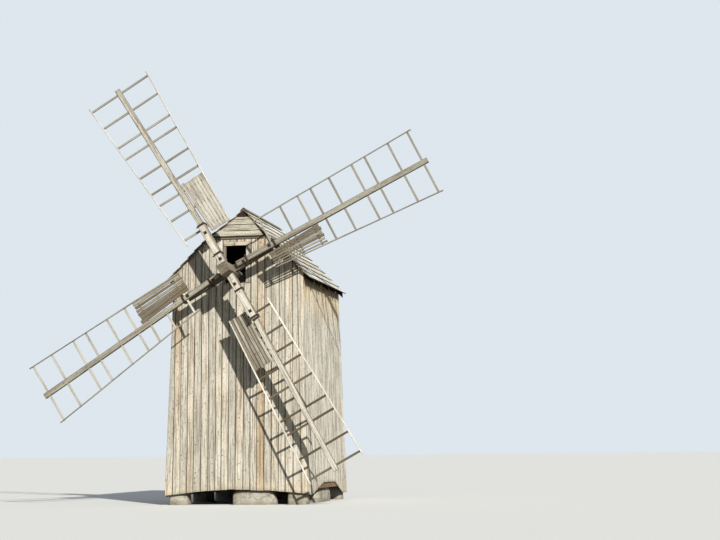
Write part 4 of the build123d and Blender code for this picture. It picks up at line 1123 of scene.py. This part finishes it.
class MILL_OT_sail_boards(bpy.types.Operator):
    """Widening boards beside each whip, near the hub"""

    bl_idname = "mill.sail_boards"
    bl_label = "Sail boards"

    def execute(self, context):
        sails = context.scene.mill_sails
        count, first_bar = sails.boards, BAR_RADII[-1]
        for number, (name, sail) in enumerate(SAILS.items()):
            random = np.random.default_rng(83 + number)
            ends = []
            for pick in (-1, -3):
                lines = board_lines(sail, BAR_RADII[pick])
                ends.append(bar_point(sail, BAR_RADII[[pick] * count], -(lines[:-1] + lines[1:]) / 2.0)[0])
            run = unit(ends[1] - ends[0])
            out = unit(np.cross(run, whip_line(sail)[2]))
            lifted = ends[0] + out * (sails.bar_thickness / 2.0 - BOARD_SUNK + sails.board_thickness)
            start = lifted - run * (first_bar - sails.board_root - random.uniform(-0.01, 0.02, (count, 1)))
            end = lifted + run * (sails.board_tip - first_bar + random.uniform(-0.06, 0.01, (count, 1)))
            gap = np.array(sail.gaps)[:, None] * random.uniform(0.7, 1.0, (count, 1))
            places = [board_lines(sail, radius) for radius in (sails.board_root, sails.board_tip)]
            corners = strip(start, end, np.cross(out, run), np.diff(places)[..., None] - gap)
            sail_piece(
                name, "boards", corners, sails.board_thickness, sail.woods[3],
                tones=sail.tones, rows=12, rounding=0.003, wander=0.0015, bow=0.001, seed=89 + number,
            )
        return {"FINISHED"}


class MILL_OT_irons(bpy.types.Operator):
    """Washers and strap tails on the stocks, and nails in the wall boards"""

    bl_idname = "mill.irons"
    bl_label = "Ironwork"

    def execute(self, context):
        sails = context.scene.mill_sails
        forward = rotor_axes()[3]
        plates, tails = [], []
        for sail in SAILS.values():
            hub, along, side = arm(STOCKS[sail.stock].angle + sail.half_turn)
            front = sails.whip_depth / 2.0 + (sails.stock_depth if sail.stock == "front" else 0.0)
            for radius in sail.bolts:
                place = hub + along * radius + forward * (front + WASHER_THICKNESS)
                reach = along * WASHER / 2.0
                plates.append(strip(place - reach, place + reach, side, (WASHER, WASHER)))
            for radius in sail.straps:
                edge = hub + along * radius + side * (sails.stock_width / 2.0 + TAIL_OUT)
                edge = edge + forward * (front - TAIL_BACK)
                tails.append(strip(edge, edge + side * TAIL_LENGTH, along, TAIL_WIDTHS))
        for name, shapes, depth in (
            ("square_washers", plates, WASHER_THICKNESS), ("strap_tails", tails, TAIL_THICKNESS),
        ):
            planks(
                name, shapes, forward, depth, ROTOR_IRON, "forged_iron", rows=3, rounding=0.002, wander=0.0, seed=97
            )
        edges = front_edges()
        base, slope = ((edges[:-1] + edges[1:]) / 2.0)[1:-1].T
        places = [
            wall_point("front", base + slope * height + sign * NAIL_SHIFT, height + sign * NAIL_SLANT)
            for height in NAIL_HEIGHTS for sign in (-1.0, 1.0)
        ]
        studs("nails", np.concatenate(places), wall_outward("front"), NAIL_RADIUS, NAIL_HEAD, BODY_IRON, "forged_iron")
        return {"FINISHED"}


class MILL_OT_stones(bpy.types.Operator):
    """Rough foundation stones with flat undersides"""

    bl_idname = "mill.stones"
    bl_label = "Foundation stones"

    def execute(self, context):
        """A point at turn a and climb b lies at the rounded plan's radius times cos b to the power 0.3,
        at the stone's height times sin b to the power 0.7, both moved by a sum of slow sines."""
        turn = np.linspace(0.0, 2 * np.pi, 72, endpoint=False)
        climb = np.linspace(0.0, np.pi / 2.0, 20)
        a, b = np.meshgrid(turn, climb)
        plan = np.stack([np.sign(f(a)) * np.abs(f(a)) ** 0.45 for f in (np.cos, np.sin)]) * np.cos(b) ** 0.30
        points = []
        for number, (x, y, long, deep) in enumerate(STONES):
            random = np.random.default_rng(101 + number)
            wave = np.ones_like(a)
            for order in (2, 3, 5, 8):
                phase = random.uniform(0.0, 6.28, 2)
                wave = wave + 0.05 / order * np.sin(order * a + phase[0]) * np.cos(order * b + phase[1])
            size = np.array((long, deep)) / 2.0 * 0.94
            flat = plan * np.minimum(wave, 1.03) * size[:, None, None]
            height = STONE_HEIGHT * np.minimum(np.sin(b) ** 0.7 * (0.3 + 0.7 * wave) * 1.03, 1.0)
            points.append(np.stack((x + flat[0], y + flat[1], height), -1))
        faces = tubes(len(STONES), *a.shape)
        piece("field_stones", np.array(points), faces, STONE, "field_stone", ["foundation_stones"])
        return {"FINISHED"}


class MILL_OT_frame(bpy.types.Operator):
    """Finishes of the frame timbers, the windshaft and the irons"""

    bl_idname = "mill.frame"
    bl_label = "Frame finishes"

    def execute(self, context):
        for material, nodes in FRAME_FINISHES.items():
            for node in nodes:
                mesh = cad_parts[node].data
                mesh.materials.clear()
                mesh.materials.append(finish_named(material))
        return {"FINISHED"}


class MILL_OT_stage(bpy.types.Operator):
    """Plain floor, soft light, background and camera"""

    bl_idname = "mill.stage"
    bl_label = "Stage"

    def execute(self, context):
        scene = context.scene
        mesh = bpy.data.meshes.new("floor")
        corners = [(x * FLOOR_REACH, y * FLOOR_REACH, 0.0) for x, y in ((-1, -1), (1, -1), (1, 1), (-1, 1))]
        mesh.from_pydata(corners, [], [(0, 1, 2, 3)])
        finish = Finish(bpy.data.materials.new("floor"))
        shade = finish.blend(finish.add("LightPath").outputs["Is Camera Ray"], "ground", "floor")
        looks = {"Base Color": shade, "Roughness": 0.9, "Specular IOR Level": 0.1}
        finish.set(finish.tree.nodes["Principled BSDF"], looks)
        mesh.materials.append(finish.owner)
        ground = bpy.data.objects.new("floor", mesh)
        scene.collection.objects.link(ground)

        scene.world = bpy.data.worlds.new("studio")
        sky = Finish(scene.world)
        nodes = sky.tree.nodes
        rays = sky.add("LightPath").outputs
        glossy = sky.math("MAXIMUM", rays["Is Glossy Ray"], rays["Is Transmission Ray"])
        seen = sky.math("MAXIMUM", rays["Is Camera Ray"], glossy)
        shown = sky.add("Background", None, {0: colour("sky")})
        light = nodes["Background"]
        sky.set(light, {0: colour(SKY_LIGHT), 1: SKY_STRENGTH})
        chosen = sky.add("MixShader", None, {0: seen, 1: light.outputs[0], 2: shown.outputs[0]})
        sky.set(nodes["World Output"], {"Surface": chosen.outputs[0]})

        key = bpy.data.objects.new("key", bpy.data.lights.new("key", "SUN"))
        key.data.energy, key.data.angle, key.data.color = SUN_STRENGTH, math.radians(SUN_WIDTH), SUN_COLOUR
        key.rotation_euler = Vector(SUN).to_track_quat("Z", "Y").to_euler()
        scene.collection.objects.link(key)

        camera = bpy.data.objects.new("camera", bpy.data.cameras.new("camera"))
        camera.data.sensor_width = 36.0
        camera.data.lens = CAMERA_LENS
        camera.data.clip_end = 2000.0
        turns = [Matrix.Rotation(math.radians(angle), 4, axis) for angle, axis in zip(CAMERA_TURN, "ZXZ")]
        camera.matrix_world = Matrix.Translation(CAMERA_PLACE) @ turns[0] @ turns[1] @ turns[2]
        scene.collection.objects.link(camera)
        scene.camera = camera
        scene.view_settings.view_transform = "Standard"
        return {"FINISHED"}


OPERATORS = (
    MILL_OT_stage, MILL_OT_walls, MILL_OT_hatch, MILL_OT_slopes, MILL_OT_hip, MILL_OT_ridge,
    MILL_OT_stocks, MILL_OT_whips, MILL_OT_lattices, MILL_OT_sail_boards, MILL_OT_irons, MILL_OT_stones,
    MILL_OT_frame,
)


class MILL_PT_windmill(bpy.types.Panel):
    """Buttons for each part of the windmill"""

    bl_label = "Windmill"
    bl_space_type = "VIEW_3D"
    bl_region_type = "UI"
    bl_category = "Windmill"

    def draw(self, context):
        for operator in OPERATORS:
            self.layout.operator(operator.bl_idname)
        for group in GROUPS:
            holder = getattr(context.scene, group)
            box = self.layout.box()
            for key in holder.bl_rna.properties.keys():
                if key not in {"rna_type", "name"}:
                    box.prop(holder, key)


def register():
    for group in GROUPS.values():
        bpy.utils.register_class(group)
    for name, group in GROUPS.items():
        setattr(bpy.types.Scene, name, bpy.props.PointerProperty(type=group))
    for thing in (*OPERATORS, MILL_PT_windmill):
        bpy.utils.register_class(thing)


def unregister():
    for thing in (MILL_PT_windmill, *reversed(OPERATORS)):
        bpy.utils.unregister_class(thing)
    for name in GROUPS:
        delattr(bpy.types.Scene, name)
    for group in reversed(tuple(GROUPS.values())):
        bpy.utils.unregister_class(group)


def main():
    """Builds the whole windmill."""
    register()
    for operator in OPERATORS:
        group, name = operator.bl_idname.split(".")
        getattr(getattr(bpy.ops, group), name)()


if __name__ == "__main__":
    main()
